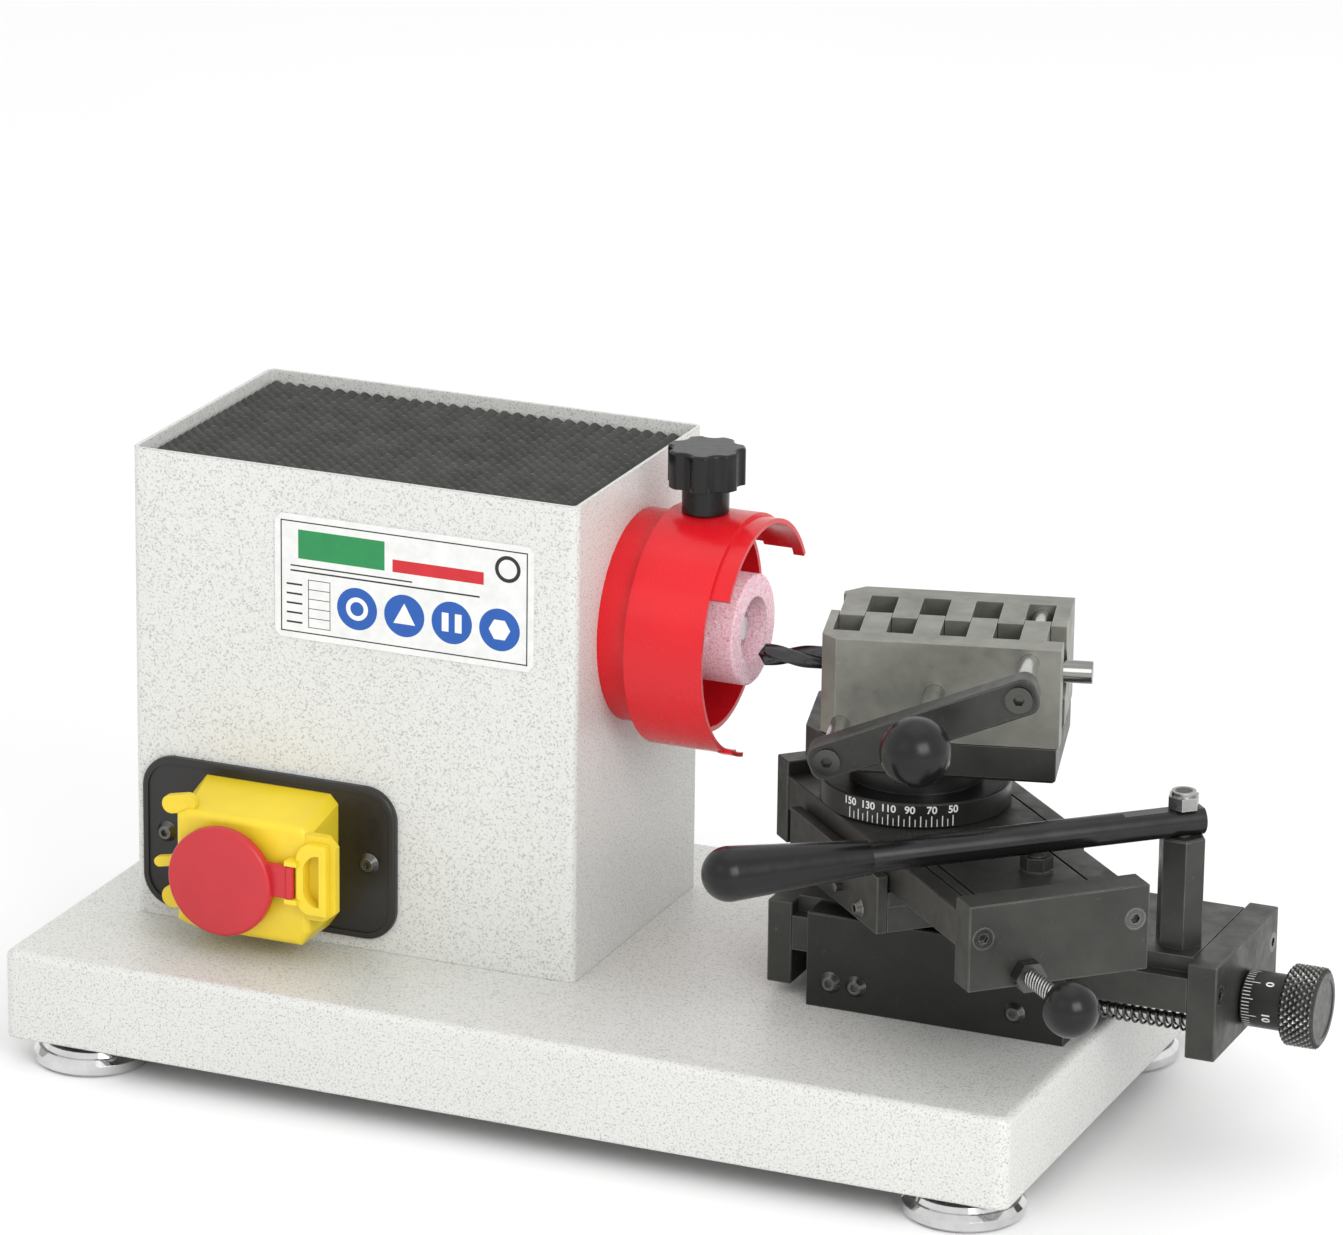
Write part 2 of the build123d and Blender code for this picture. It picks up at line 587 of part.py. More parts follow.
def make_block():
    """Fixed slide block: floor, two cheeks with keeper lips over the slide, screws and the feed nut."""
    floor_top = 22.0
    with BuildPart() as block_floor:
        block(MACHINE, (BLOCK_LEFT, BLOCK_RIGHT), (-UNIT_HALF, UNIT_HALF), (0, floor_top))
        block(MACHINE, (130, BLOCK_RIGHT - 24), (-6, 6), (FEED_SCREW_Z - 6, floor_top), Mode.SUBTRACT)
        block(MACHINE, (BLOCK_RIGHT - 24, BLOCK_RIGHT), (-10, 10), (8, floor_top), Mode.SUBTRACT)
        rod(facing_right(MACHINE, BLOCK_RIGHT - 40), ROD_RADIUS + 0.4, 40, Mode.SUBTRACT, SPRING_POINTS)
        rod(facing_right(MACHINE, BLOCK_RIGHT - 12), SPRING_RADIUS + 0.5, 12, Mode.SUBTRACT, SPRING_POINTS)
    save(block_floor, "block_floor")

    with BuildPart() as block_cheeks:
        for side in (-1, 1):
            near, far = sorted((side * UNIT_HALF, side * (UNIT_HALF + CHEEK_THICK)))
            block(MACHINE, (BLOCK_LEFT, BLOCK_RIGHT), (near, far), (0, BLOCK_HEIGHT))
            near, far = sorted((side * (RAISED_HALF + GAP), side * UNIT_HALF))
            block(MACHINE, (BLOCK_LEFT, BLOCK_RIGHT), (near, far), (SLIDE_LEDGE + GAP, BLOCK_HEIGHT))
        chamfer(block_cheeks.edges().filter_by(Axis.X).group_by(Axis.Z)[-1], 0.6)
    save(block_cheeks, "block_cheeks")

    outside = UNIT_HALF + CHEEK_THICK
    front = facing_front(MACHINE, -outside)
    back = Plane(origin=MACHINE.from_local_coords((0, outside, 0)), x_dir=-MACHINE.x_dir, z_dir=MACHINE.y_dir)
    switch_seat = facing_front(MACHINE, SWITCH_FACE - PLATE_THICK + 1.0)
    with BuildPart() as button_screws:
        button_heads(front, [(x, 12.6) for x in CHEEK_SCREW_X])
        button_heads(back, [(-x, 12.6) for x in CHEEK_SCREW_X])
        button_heads(switch_seat, SWITCH_SCREW_POINTS)
        rod(switch_seat.offset(-9), 2.5, 9, Mode.ADD, SWITCH_SCREW_POINTS)
    save(button_screws, "button_screws")

    with BuildPart() as feed_nut:
        block(MACHINE, (BLOCK_RIGHT - 24, BLOCK_RIGHT), (-10, 10), (8, 24.6))
        rod(facing_right(MACHINE, BLOCK_RIGHT - 24, 0, FEED_SCREW_Z), SCREW_RADIUS + RUNNING, 24, Mode.SUBTRACT)
    save(feed_nut, "feed_nut")


CHEEK_SCREW_X = (118.8, 131.4, 208.4)
RAISED_HALF = 35.6
SLIDE_LEDGE = 38.9
SLIDE_TOP = 46.5
ROD_RADIUS = 2.7
SPRING_Y = 36.0
SPRING_Z = 16.0
SPRING_RADIUS = 4.95
SPRING_POINTS = ((-SPRING_Y, SPRING_Z), (SPRING_Y, SPRING_Z))
SCREW_RADIUS = 3.95
PLATE_SCREW_Y = 37.5


def make_feed_unit():
    """Feed slide with its end plates, guide rods, springs, lead screw, sleeve and knurled knob."""
    inner_left = FEED_LEFT + 12.0
    inner_right = FEED_RIGHT - 14.0
    with BuildPart() as feed_slide:
        block(MACHINE, (inner_left, inner_right), (-UNIT_HALF + GAP, UNIT_HALF - GAP), (22.0 + GAP, SLIDE_LEDGE))
        block(MACHINE, (inner_left, inner_right), (-RAISED_HALF, RAISED_HALF), (SLIDE_LEDGE, SLIDE_TOP))
        block(MACHINE, (inner_left, inner_right), (-11, 11), (22.0, 25.4), Mode.SUBTRACT)
    save(feed_slide, "feed_slide")

    end_screws = ((-PLATE_SCREW_Y, 31), (PLATE_SCREW_Y, 31))
    left_seat = Plane(origin=MACHINE.from_local_coords((FEED_LEFT + 5, 0, 0)), x_dir=-MACHINE.y_dir,
                      z_dir=-MACHINE.x_dir)
    with BuildPart() as feed_end_plates:
        block(MACHINE, (inner_right, FEED_RIGHT), (-UNIT_HALF, UNIT_HALF), (1, 46.3))
        block(MACHINE, (FEED_LEFT, inner_left), (-UNIT_HALF, UNIT_HALF), (5.3, 45.3))
        chamfer(feed_end_plates.edges(), 0.5)
        rod(facing_right(MACHINE, inner_right, 0, FEED_SCREW_Z), SCREW_RADIUS + RUNNING, 20, Mode.SUBTRACT)
        rod(facing_right(MACHINE, FEED_RIGHT - 5), 4.6, 10, Mode.SUBTRACT, end_screws)
        rod(left_seat, 4.6, 10, Mode.SUBTRACT, end_screws)
    save(feed_end_plates, "feed_end_plates")

    guide_outside = facing_front(CROSS, -GUIDE_HALF - 5.2)
    with BuildPart() as feed_unit_screws:
        socket_screws(facing_right(MACHINE, FEED_RIGHT - 5), end_screws)
        socket_screws(left_seat, end_screws)
        button_heads(guide_outside, ((-14, 59), (51, 59)), 4.6)
        rod(guide_outside, 1.9, 3.5, Mode.ADD, ((10, 62), (30, 62)))
    save(feed_unit_screws, "feed_unit_screws")

    with BuildPart() as guide_rods:
        rod(facing_right(MACHINE, BLOCK_RIGHT - 22), ROD_RADIUS, inner_right - BLOCK_RIGHT + 22, Mode.ADD,
            SPRING_POINTS)
    save(guide_rods, "guide_rods")

    with BuildPart() as return_springs:
        for y, z in SPRING_POINTS:
            ring(facing_right(MACHINE, BLOCK_RIGHT - 1, y, z), SPRING_RADIUS, SPRING_RADIUS - 1.3,
                 inner_right - BLOCK_RIGHT + 1)
    save(return_springs, "return_springs")

    with BuildPart() as feed_screw:
        rod(facing_right(MACHINE, 160, 0, FEED_SCREW_Z), SCREW_RADIUS, KNOB_RIGHT - 4 - 160)
    save(feed_screw, "feed_screw")

    with BuildPart() as index_sleeve:
        ring(facing_right(MACHINE, FEED_RIGHT + GAP, 0, FEED_SCREW_Z), 13, SCREW_RADIUS, KNOB_LEFT - FEED_RIGHT - GAP)
        chamfer(index_sleeve.faces().sort_by(Axis.X)[0].edges().sort_by(SortBy.LENGTH)[-1], 1.2)
    save(index_sleeve, "index_sleeve")

    with BuildPart() as feed_knob:
        rod(facing_right(MACHINE, KNOB_LEFT, 0, FEED_SCREW_Z), 19, KNOB_RIGHT - KNOB_LEFT)
        chamfer(feed_knob.edges(), 1.2)
        rod(facing_right(MACHINE, KNOB_LEFT, 0, FEED_SCREW_Z), SCREW_RADIUS, KNOB_RIGHT - KNOB_LEFT - 4, Mode.SUBTRACT)
    save(feed_knob, "feed_knob")

    with BuildPart() as lever_post:
        hexagon(level(LEVER, SLIDE_TOP), 19, POST_TOP - SLIDE_TOP, turn=15)
        chamfer(lever_post.edges().filter_by(GeomType.LINE).group_by(Axis.Z)[-1], 0.8)
        rod(level(LEVER, POST_TOP), 4.0, 21)
    save(lever_post, "lever_post")

    with BuildPart() as lever_nut:
        with BuildSketch(level(LEVER, LEVER_FLAT_TOP + GAP)):
            RegularPolygon(6.5, 6, major_radius=False)
        extrude(amount=6)
        rod(level(LEVER, LEVER_FLAT_TOP + GAP + 6), 5.6, 2)
        rod(level(LEVER, LEVER_FLAT_TOP), 4.0, 10, Mode.SUBTRACT)
    save(lever_nut, "lever_nut")


KNOB_LEFT = 321.5
KNOB_RIGHT = 338.0
LEVER_FLAT_TOP = 110.6


def button_heads(plane, points, radius=5.2):
    """Domed screw heads with a hexagon socket, standing on a plane."""
    with BuildSketch(plane) as seat:
        with Locations(*points):
            Circle(radius)
    with BuildSketch(plane.offset(2.8)) as crown:
        with Locations(*points):
            Circle(radius - 2.2)
    for low, high in zip(seat.sketch.faces(), crown.sketch.faces()):
        loft([low, high])
    with BuildSketch(plane.offset(2.8)) as socket:
        with Locations(*points):
            RegularPolygon(2.0, 6)
    extrude(socket.sketch, amount=-1.8, mode=Mode.SUBTRACT)


def socket_screws(plane, points, radius=4.5, depth=5.0):
    """Flush socket-head screws standing on a plane."""
    with BuildSketch(plane) as outline:
        with Locations(*points):
            Circle(radius)
            RegularPolygon(2.4, 6, mode=Mode.SUBTRACT)
    extrude(outline.sketch, amount=depth)
    rod(plane, radius, depth - 2.5, Mode.ADD, points)


# ======================= lever =======================

def make_lever():
    """Round hand lever with flats at its pivot, a follower slot underneath, and a tapered grip."""
    rod_end = LEVER_LENGTH - 78
    with BuildPart() as hand_lever:
        rod(facing_right(LEVER, -9, 0, LEVER_Z), LEVER_RADIUS, 9 + rod_end + 20)
        block(LEVER, (-12, 30), (-10, 10), (LEVER_FLAT_TOP, LEVER_Z + 10), Mode.SUBTRACT)
        block(LEVER, (-12, 14), (-10, 10), (LEVER_Z - 10, POST_TOP + GAP), Mode.SUBTRACT)
        rod(level(LEVER, LEVER_Z - 12), 4.0 + RUNNING, 24, Mode.SUBTRACT)
        with BuildSketch(level(LEVER, LEVER_Z - 10)):
            with Locations((FOLLOWER_ARM, 0)):
                SlotCenterToCenter(5.2, 8.8)
        extrude(amount=10.5, mode=Mode.SUBTRACT)
    save(hand_lever, "hand_lever")

    grip_plane = facing_front(LEVER, 0, 0, LEVER_Z)
    with BuildPart() as lever_grip:
        with BuildSketch(grip_plane) as outline:
            with BuildLine():
                start = (rod_end, 7.8)
                end = 12.4
                bend = end * math.sqrt(0.5)
                Line((rod_end, 0), start)
                Line(start, (LEVER_LENGTH - end, end))
                ThreePointArc((LEVER_LENGTH - end, end), (LEVER_LENGTH - end + bend, bend), (LEVER_LENGTH, 0))
                Line((LEVER_LENGTH, 0), (rod_end, 0))
            make_face()
        revolve(axis=Axis(grip_plane.origin, LEVER.x_dir))
        rod(facing_right(LEVER, rod_end, 0, LEVER_Z), LEVER_RADIUS, 20, Mode.SUBTRACT)
    save(lever_grip, "lever_grip")


# ======================= cross unit =======================

def make_cross_guide():
    """Fixed guide on the feed slide: floor on a round riser, cheeks and gibs."""
    floor_low = SLIDE_TOP + 6.5
    with BuildPart() as cross_guide:
        block(CROSS, (GUIDE_REAR, GUIDE_FRONT), (-GUIDE_HALF, GUIDE_HALF), (floor_low, 65))
        rod(level(CROSS, SLIDE_TOP), 34, 6.5)
    save(cross_guide, "cross_guide")

    with BuildPart() as guide_cheeks:
        block(CROSS, (GUIDE_REAR, GUIDE_FRONT), (-GUIDE_HALF - 5.2, -GUIDE_HALF), (floor_low, 80))
        block(CROSS, (GUIDE_REAR, GUIDE_FRONT), (GUIDE_HALF, GUIDE_HALF + 8.5), (floor_low, 88.4))
        chamfer(guide_cheeks.edges().filter_by(Axis.Z), 0.4)
    save(guide_cheeks, "guide_cheeks")

    with BuildPart() as cross_gibs:
        for side in (-1, 1):
            with BuildSketch(facing_right(CROSS, GUIDE_REAR)):
                with BuildLine():
                    Polyline((side * 28.7, 65), (side * GUIDE_HALF, 65), (side * GUIDE_HALF, 72.1),
                             (side * 24.7, 72.1), (side * 28.7, 65))
                make_face()
            extrude(amount=GUIDE_FRONT - GUIDE_REAR)
    save(cross_gibs, "cross_gibs")


GUIDE_HALF = 44.3


def make_cross_slide():
    """Moving table with a dovetail tongue and swivel pivot, end plates, screws and follower bolt."""
    with BuildPart() as cross_slide:
        block(CROSS, (REAR_PLATE, FRONT_PLATE), (-TABLE_HALF, TABLE_HALF), (72.5, TABLE_TOP))
        chamfer(cross_slide.edges().filter_by(lambda e: e.length > 150).group_by(Axis.Z)[-1], 0.6)
        with BuildSketch(facing_right(CROSS, REAR_PLATE)):
            with BuildLine():
                Polyline((-28, 65.0 + GAP), (28, 65.0 + GAP), (24, 72.5), (-24, 72.5), (-28, 65.0 + GAP))
            make_face()
        extrude(amount=FRONT_PLATE - REAR_PLATE)
        for w_low, w_high in ((-34, -32.6), (-28.6, -26.6), (26.6, 28.0)):
            block(CROSS, (50, FRONT_PLATE), (w_low, w_high), (TABLE_TOP - 1.5, TABLE_TOP), Mode.SUBTRACT)
        rod(level(CROSS, TABLE_TOP), PIVOT_RADIUS, VISE_BASE_LOW - 1 - TABLE_TOP)
    save(cross_slide, "cross_slide")

    end_screws = ((-36.8, 80), (36.8, 80))
    rear_seat = Plane(origin=CROSS.from_local_coords((REAR_PLATE - 7, 0, 0)), x_dir=-CROSS.y_dir,
                      z_dir=-CROSS.x_dir)
    with BuildPart() as cross_end_plates:
        block(CROSS, (FRONT_PLATE, FRONT_PLATE + 15), (-UNIT_HALF, UNIT_HALF), (55.5, 95.5))
        block(CROSS, (REAR_PLATE - 12, REAR_PLATE), (-UNIT_HALF, UNIT_HALF), (55.5, 95.5))
        chamfer(cross_end_plates.edges(), 0.5)
        rod(facing_right(CROSS, FRONT_PLATE, STOP_Y, STOP_Z), STOP_RADIUS, 20, Mode.SUBTRACT)
        rod(facing_right(CROSS, FRONT_PLATE + 10), 5.0, 10, Mode.SUBTRACT, end_screws)
        rod(rear_seat, 5.0, 10, Mode.SUBTRACT, end_screws)
    save(cross_end_plates, "cross_end_plates")

    with BuildPart() as cross_plate_screws:
        socket_screws(facing_right(CROSS, FRONT_PLATE + 10), end_screws, 4.9)
        socket_screws(rear_seat, end_screws, 4.9)
    save(cross_plate_screws, "cross_plate_screws")

    with BuildPart() as follower_bolt:
        seat = Plane(origin=LEVER.from_local_coords((FOLLOWER_ARM, 0, TABLE_TOP)), x_dir=CROSS.x_dir,
                     z_dir=(0, 0, 1))
        rod(seat, 7.5, 1.2)
        hexagon(seat.offset(1.2), 13, 6.2)
        rod(seat.offset(7.4), 4.0, 5.6)
    save(follower_bolt, "follower_bolt")


PIVOT_RADIUS = 8.0
STOP_Y = -16.0
STOP_Z = 61.3
STOP_RADIUS = 4.0


def make_stop():
    """Stop screw with its lock nut, and its ball knob."""
    face = FRONT_PLATE + 15
    with BuildPart() as stop_screw:
        rod(facing_right(CROSS, GUIDE_FRONT + 8.4, STOP_Y, STOP_Z), STOP_RADIUS - RUNNING, 198 - GUIDE_FRONT - 8.4)
        hexagon(facing_right(CROSS, face + GAP, STOP_Y, STOP_Z), 13, 6.5)
    save(stop_screw, "stop_screw")

    with BuildPart() as stop_ball:
        ball(facing_right(CROSS, 203.5, STOP_Y, STOP_Z), 12.5, STOP_RADIUS - RUNNING)
    save(stop_ball, "stop_ball")


def ball(plane, radius, bore):
    """Ball knob centred on a plane's origin, with a flat and a blind bore on its inner side."""
    with BuildSketch(Plane(origin=plane.origin, x_dir=plane.z_dir, z_dir=plane.x_dir)) as outline:
        with BuildLine():
            flat = radius * 0.9
            rim = math.sqrt(radius ** 2 - flat ** 2)
            Line((radius, 0), (-flat, 0))
            Line((-flat, 0), (-flat, rim))
            ThreePointArc((-flat, rim), (0, radius), (radius, 0))
        make_face()
    revolve(outline.sketch, axis=Axis(plane.origin, plane.z_dir))
    rod(plane.offset(-radius), bore, radius * 0.75, Mode.SUBTRACT)


# ======================= vise =======================

def make_swivel():
    """Graduated dial with its neck, and the vise base."""
    with BuildPart() as swivel_dial:
        rod(level(VISE, TABLE_TOP + 0.3), DIAL_RADIUS, DIAL_TOP - TABLE_TOP - 0.3)
        chamfer(swivel_dial.edges(), 0.6)
        rod(level(VISE, DIAL_TOP), 31, VISE_BASE_LOW - DIAL_TOP)
        rod(level(VISE, 80), PIVOT_RADIUS + RUNNING, 40, Mode.SUBTRACT)
    save(swivel_dial, "swivel_dial")

    with BuildPart() as vise_base:
        with BuildSketch(level(VISE, VISE_BASE_LOW)):
            with BuildLine():
                Polyline((-48.5, -24), (-36, -JAW_HALF), (67, -JAW_HALF), (67, JAW_HALF), (-36, JAW_HALF),
                         (-48.5, 24), (-48.5, -24))
            make_face()
        extrude(amount=JAW_LOW - VISE_BASE_LOW)
        chamfer(vise_base.edges().group_by(Axis.Z)[0], 1.5)
    save(vise_base, "vise_base")


def fingers(centre, width, e_range, n_range, low):
    """Add the fingers of one jaw, cut off at the ends of the jaw."""
    for k in range(5):
        start = max(centre + FINGER_PITCH * k - width / 2, e_range[0])
        end = min(centre + FINGER_PITCH * k + width / 2, e_range[1])
        block(VISE, (start, end), n_range, (low, JAW_TOP))


def vise_corner(shape, e_sign, n_sign):
    """Vertical edge of a jaw that lies furthest towards the given corner of the vise."""
    def reach(edge):
        spot = VISE.to_local_coords(edge.center())
        return e_sign * spot.X + n_sign * spot.Y
    return shape.edges().filter_by(Axis.Z).sort_by(reach)[-1]


def v_groove(side):
    """Cut the 90-degree groove that holds the drill, opening away from the jaw's own spine."""
    apex = side * (DRILL_RADIUS + GAP) * math.sqrt(2)
    reach = 30.0
    with BuildSketch(facing_right(VISE, -60, 0, DRILL_Z)) as outline:
        with BuildLine():
            Polyline((apex, 0), (apex - side * reach, reach), (apex - side * reach, -reach), (apex, 0))
        make_face()
    extrude(outline.sketch, amount=150, mode=Mode.SUBTRACT)


def make_jaws():
    """Comb jaws whose fingers interleave round the drill."""
    with BuildPart() as rear_jaw:
        block(VISE, (-38, 67.5), (SPINE_INNER, JAW_HALF), (JAW_LOW, JAW_TOP))
        fingers(-30.8, 11.6, (-38, 67.5), (-4, SPINE_INNER), JAW_LOW)
        chamfer(vise_corner(rear_jaw, -1, 1), 9)
        v_groove(1)
        rod(facing_front(VISE, JAW_HALF + 1), PIN_RADIUS, 12, Mode.SUBTRACT, PIN_POINTS)
        rod(facing_front(VISE, SPINE_INNER + 2), PIN_RADIUS + RUNNING, 40, Mode.SUBTRACT, PIN_POINTS)
    save(rear_jaw, "rear_jaw")

    with BuildPart() as front_jaw:
        block(VISE, (-40.9, 68.1), (-JAW_HALF, -SPINE_INNER), (JAW_LOW + GAP, JAW_TOP))
        fingers(-42.9, 12.0, (-40.9, 68.1), (-SPINE_INNER, 2), JAW_LOW + GAP)
        chamfer(vise_corner(front_jaw, -1, -1), 7)
        v_groove(-1)
        rod(facing_front(VISE, 10), PIN_RADIUS + RUNNING, 60, Mode.SUBTRACT, PIN_POINTS)
        rod(facing_front(VISE, -JAW_HALF + 8), CLAMP_RADIUS + RUNNING, 20, Mode.SUBTRACT, ((CLAMP_X, CLAMP_Z),))
    save(front_jaw, "front_jaw")


BAR_THICK = 12.0
CLAMP_X = 11.2
CLAMP_Z = 152.6
CLAMP_RADIUS = 4.95
PIN_POINTS = ((CLAMP_X - SLOPE_X, CLAMP_Z - SLOPE_Z), (CLAMP_X + SLOPE_X, CLAMP_Z + SLOPE_Z))


def make_clamp():
    """Guide pins with their bolt heads, bridge bar, clamp screw and its ball knob."""
    with BuildPart() as guide_pins:
        rod(facing_front(VISE, JAW_HALF - 1), PIN_RADIUS, JAW_HALF - 1 + BRIDGE_OUT - 3, Mode.ADD, PIN_POINTS)
        heads = facing_front(VISE, -BRIDGE_OUT + 3)
        rod(heads, 6.2, 5, Mode.ADD, PIN_POINTS)
        with BuildSketch(heads.offset(5)):
            with Locations(*PIN_POINTS):
                RegularPolygon(2.6, 6)
        extrude(amount=-3, mode=Mode.SUBTRACT)
    save(guide_pins, "guide_pins")

    slope = math.degrees(math.atan2(SLOPE_Z, SLOPE_X))
    with BuildPart() as bridge_bar:
        with BuildSketch(facing_front(VISE, -BRIDGE_OUT + BAR_THICK, CLAMP_X, CLAMP_Z)):
            RectangleRounded(2 * math.hypot(SLOPE_X, SLOPE_Z) + 17, 17, 6, rotation=slope)
        extrude(amount=BAR_THICK)
        chamfer(bridge_bar.faces().sort_by(lambda f: VISE.to_local_coords(f.center()).Y)[0].edges(), 0.6)
        rod(facing_front(VISE, -BRIDGE_OUT + BAR_THICK + 1), CLAMP_RADIUS + RUNNING, 20, Mode.SUBTRACT,
            ((CLAMP_X, CLAMP_Z),))
        rod(facing_front(VISE, -BRIDGE_OUT + BAR_THICK + 1), PIN_RADIUS, 20, Mode.SUBTRACT, PIN_POINTS)
        rod(facing_front(VISE, -BRIDGE_OUT + 3), 6.2, 10, Mode.SUBTRACT, PIN_POINTS)
    save(bridge_bar, "bridge_bar")

    with BuildPart() as clamp_screw:
        rod(facing_front(VISE, -JAW_HALF + 8 - GAP), CLAMP_RADIUS, 112 - JAW_HALF + 8 - GAP, Mode.ADD,
            ((CLAMP_X, CLAMP_Z),))
    save(clamp_screw, "clamp_screw")

    with BuildPart() as clamp_ball:
        ball(facing_front(VISE, -119.5, CLAMP_X, CLAMP_Z), 16, CLAMP_RADIUS)
    save(clamp_ball, "clamp_ball")


def make_drill():
    """Twist drill: round shank and a fluted body with a pointed end."""
    tip = -73.8
    shank_end = 79.6
    axis_plane = facing_right(VISE, tip, 0, DRILL_Z)
    with BuildPart() as twist_drill:
        rod(axis_plane.offset(3), DRILL_RADIUS, shank_end - tip - 3)
        chamfer(twist_drill.edges().sort_by(lambda e: VISE.to_local_coords(e.center()).X)[-1], 0.5)
        with BuildSketch(axis_plane):
            Circle(0.6)
        with BuildSketch(axis_plane.offset(3)):
            Circle(DRILL_RADIUS)
        loft()
    save(twist_drill, "twist_drill")


def main():
    """Build every piece."""
    make_base()
    make_feet()
    make_motor_box()
    make_motor()
    make_spindle()
    make_guard()
    make_switch()
    make_block()
    make_feed_unit()
    make_lever()
    make_cross_guide()
    make_cross_slide()
    make_stop()
    make_swivel()
    make_jaws()
    make_clamp()
    make_drill()


main()
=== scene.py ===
import math

import bpy
from mathutils import Matrix, Vector


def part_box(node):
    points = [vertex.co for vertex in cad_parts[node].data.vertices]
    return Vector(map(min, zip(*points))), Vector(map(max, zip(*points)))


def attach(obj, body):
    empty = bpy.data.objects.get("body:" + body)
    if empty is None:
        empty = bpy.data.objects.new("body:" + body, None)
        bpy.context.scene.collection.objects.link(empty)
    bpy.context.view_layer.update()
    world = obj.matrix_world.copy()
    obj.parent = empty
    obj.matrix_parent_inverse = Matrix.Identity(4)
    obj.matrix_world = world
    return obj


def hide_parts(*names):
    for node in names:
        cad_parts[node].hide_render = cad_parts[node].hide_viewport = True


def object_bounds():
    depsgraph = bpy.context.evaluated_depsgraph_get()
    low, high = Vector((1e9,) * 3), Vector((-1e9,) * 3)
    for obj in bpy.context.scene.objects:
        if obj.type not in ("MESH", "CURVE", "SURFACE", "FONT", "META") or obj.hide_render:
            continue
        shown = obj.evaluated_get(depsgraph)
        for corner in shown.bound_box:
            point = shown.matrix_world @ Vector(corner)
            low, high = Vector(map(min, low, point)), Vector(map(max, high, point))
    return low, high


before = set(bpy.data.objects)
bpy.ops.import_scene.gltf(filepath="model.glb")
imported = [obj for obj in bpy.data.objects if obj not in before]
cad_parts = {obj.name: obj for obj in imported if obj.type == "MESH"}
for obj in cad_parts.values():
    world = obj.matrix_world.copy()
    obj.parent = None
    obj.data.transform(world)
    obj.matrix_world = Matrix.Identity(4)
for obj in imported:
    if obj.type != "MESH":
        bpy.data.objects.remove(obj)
CAD_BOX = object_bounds()
MM = 0.001
TURN = 2 * math.pi


# ---------------------------------------------------------------- places taken from the CAD
def low(node):
    return Vector(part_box(node)[0])


def high(node):
    return Vector(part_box(node)[1])


def middle(node):
    return (low(node) + high(node)) / 2


AXIS = middle("grinding_wheel")
# the point where the motor box's right face, the spindle plane and the base's top meet
DATUM = Vector((low("guard_collar").x, AXIS.y, low("block_floor").z))
SWIVEL = Vector((middle("swivel_dial").x, AXIS.y, DATUM.z))
VISE_TURN = math.radians(15)
CROSS_TURN = math.radians(-45)


def turned(origin, angle):
    """Upright frame at an origin, turned about the vertical."""
    return Matrix.Translation(origin) @ Matrix.Rotation(angle, 4, "Z")


# frames of the vise and of the cross slide: X runs along the drill and along the slide
VISE = turned(SWIVEL, VISE_TURN)
CROSS = turned(SWIVEL, CROSS_TURN)
DRILL_TIP = -73.8 * MM
DRILL_END = 79.6 * MM
SHANK_FROM = 24 * MM
PIN_HEADS_FROM = 84.5 * MM
LOCK_NUT_END = 163.7 * MM


# ---------------------------------------------------------------- meshes
def mesh_object(name, verts, faces, body, material):
    """Mesh piece with one material, riding a body."""
    mesh = bpy.data.meshes.new(name)
    mesh.from_pydata([tuple(v) for v in verts], [], faces)
    mesh.validate()
    mesh.update()
    obj = bpy.data.objects.new(name, mesh)
    bpy.context.scene.collection.objects.link(obj)
    mesh.materials.append(material)
    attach(obj, body)
    return obj


def sharpen(obj, degrees=32):
    """Smooth shading that stays crisp across edges steeper than the given angle."""
    mesh = obj.data
    mesh.shade_smooth()
    mesh.set_sharp_from_angle(angle=math.radians(degrees))


def tube_faces(rows, columns):
    """Quads between successive closed rings of points."""
    faces = []
    for r in range(rows - 1):
        for c in range(columns):
            d = (c + 1) % columns
            faces.append((r * columns + c, r * columns + d, (r + 1) * columns + d, (r + 1) * columns + c))
    return faces


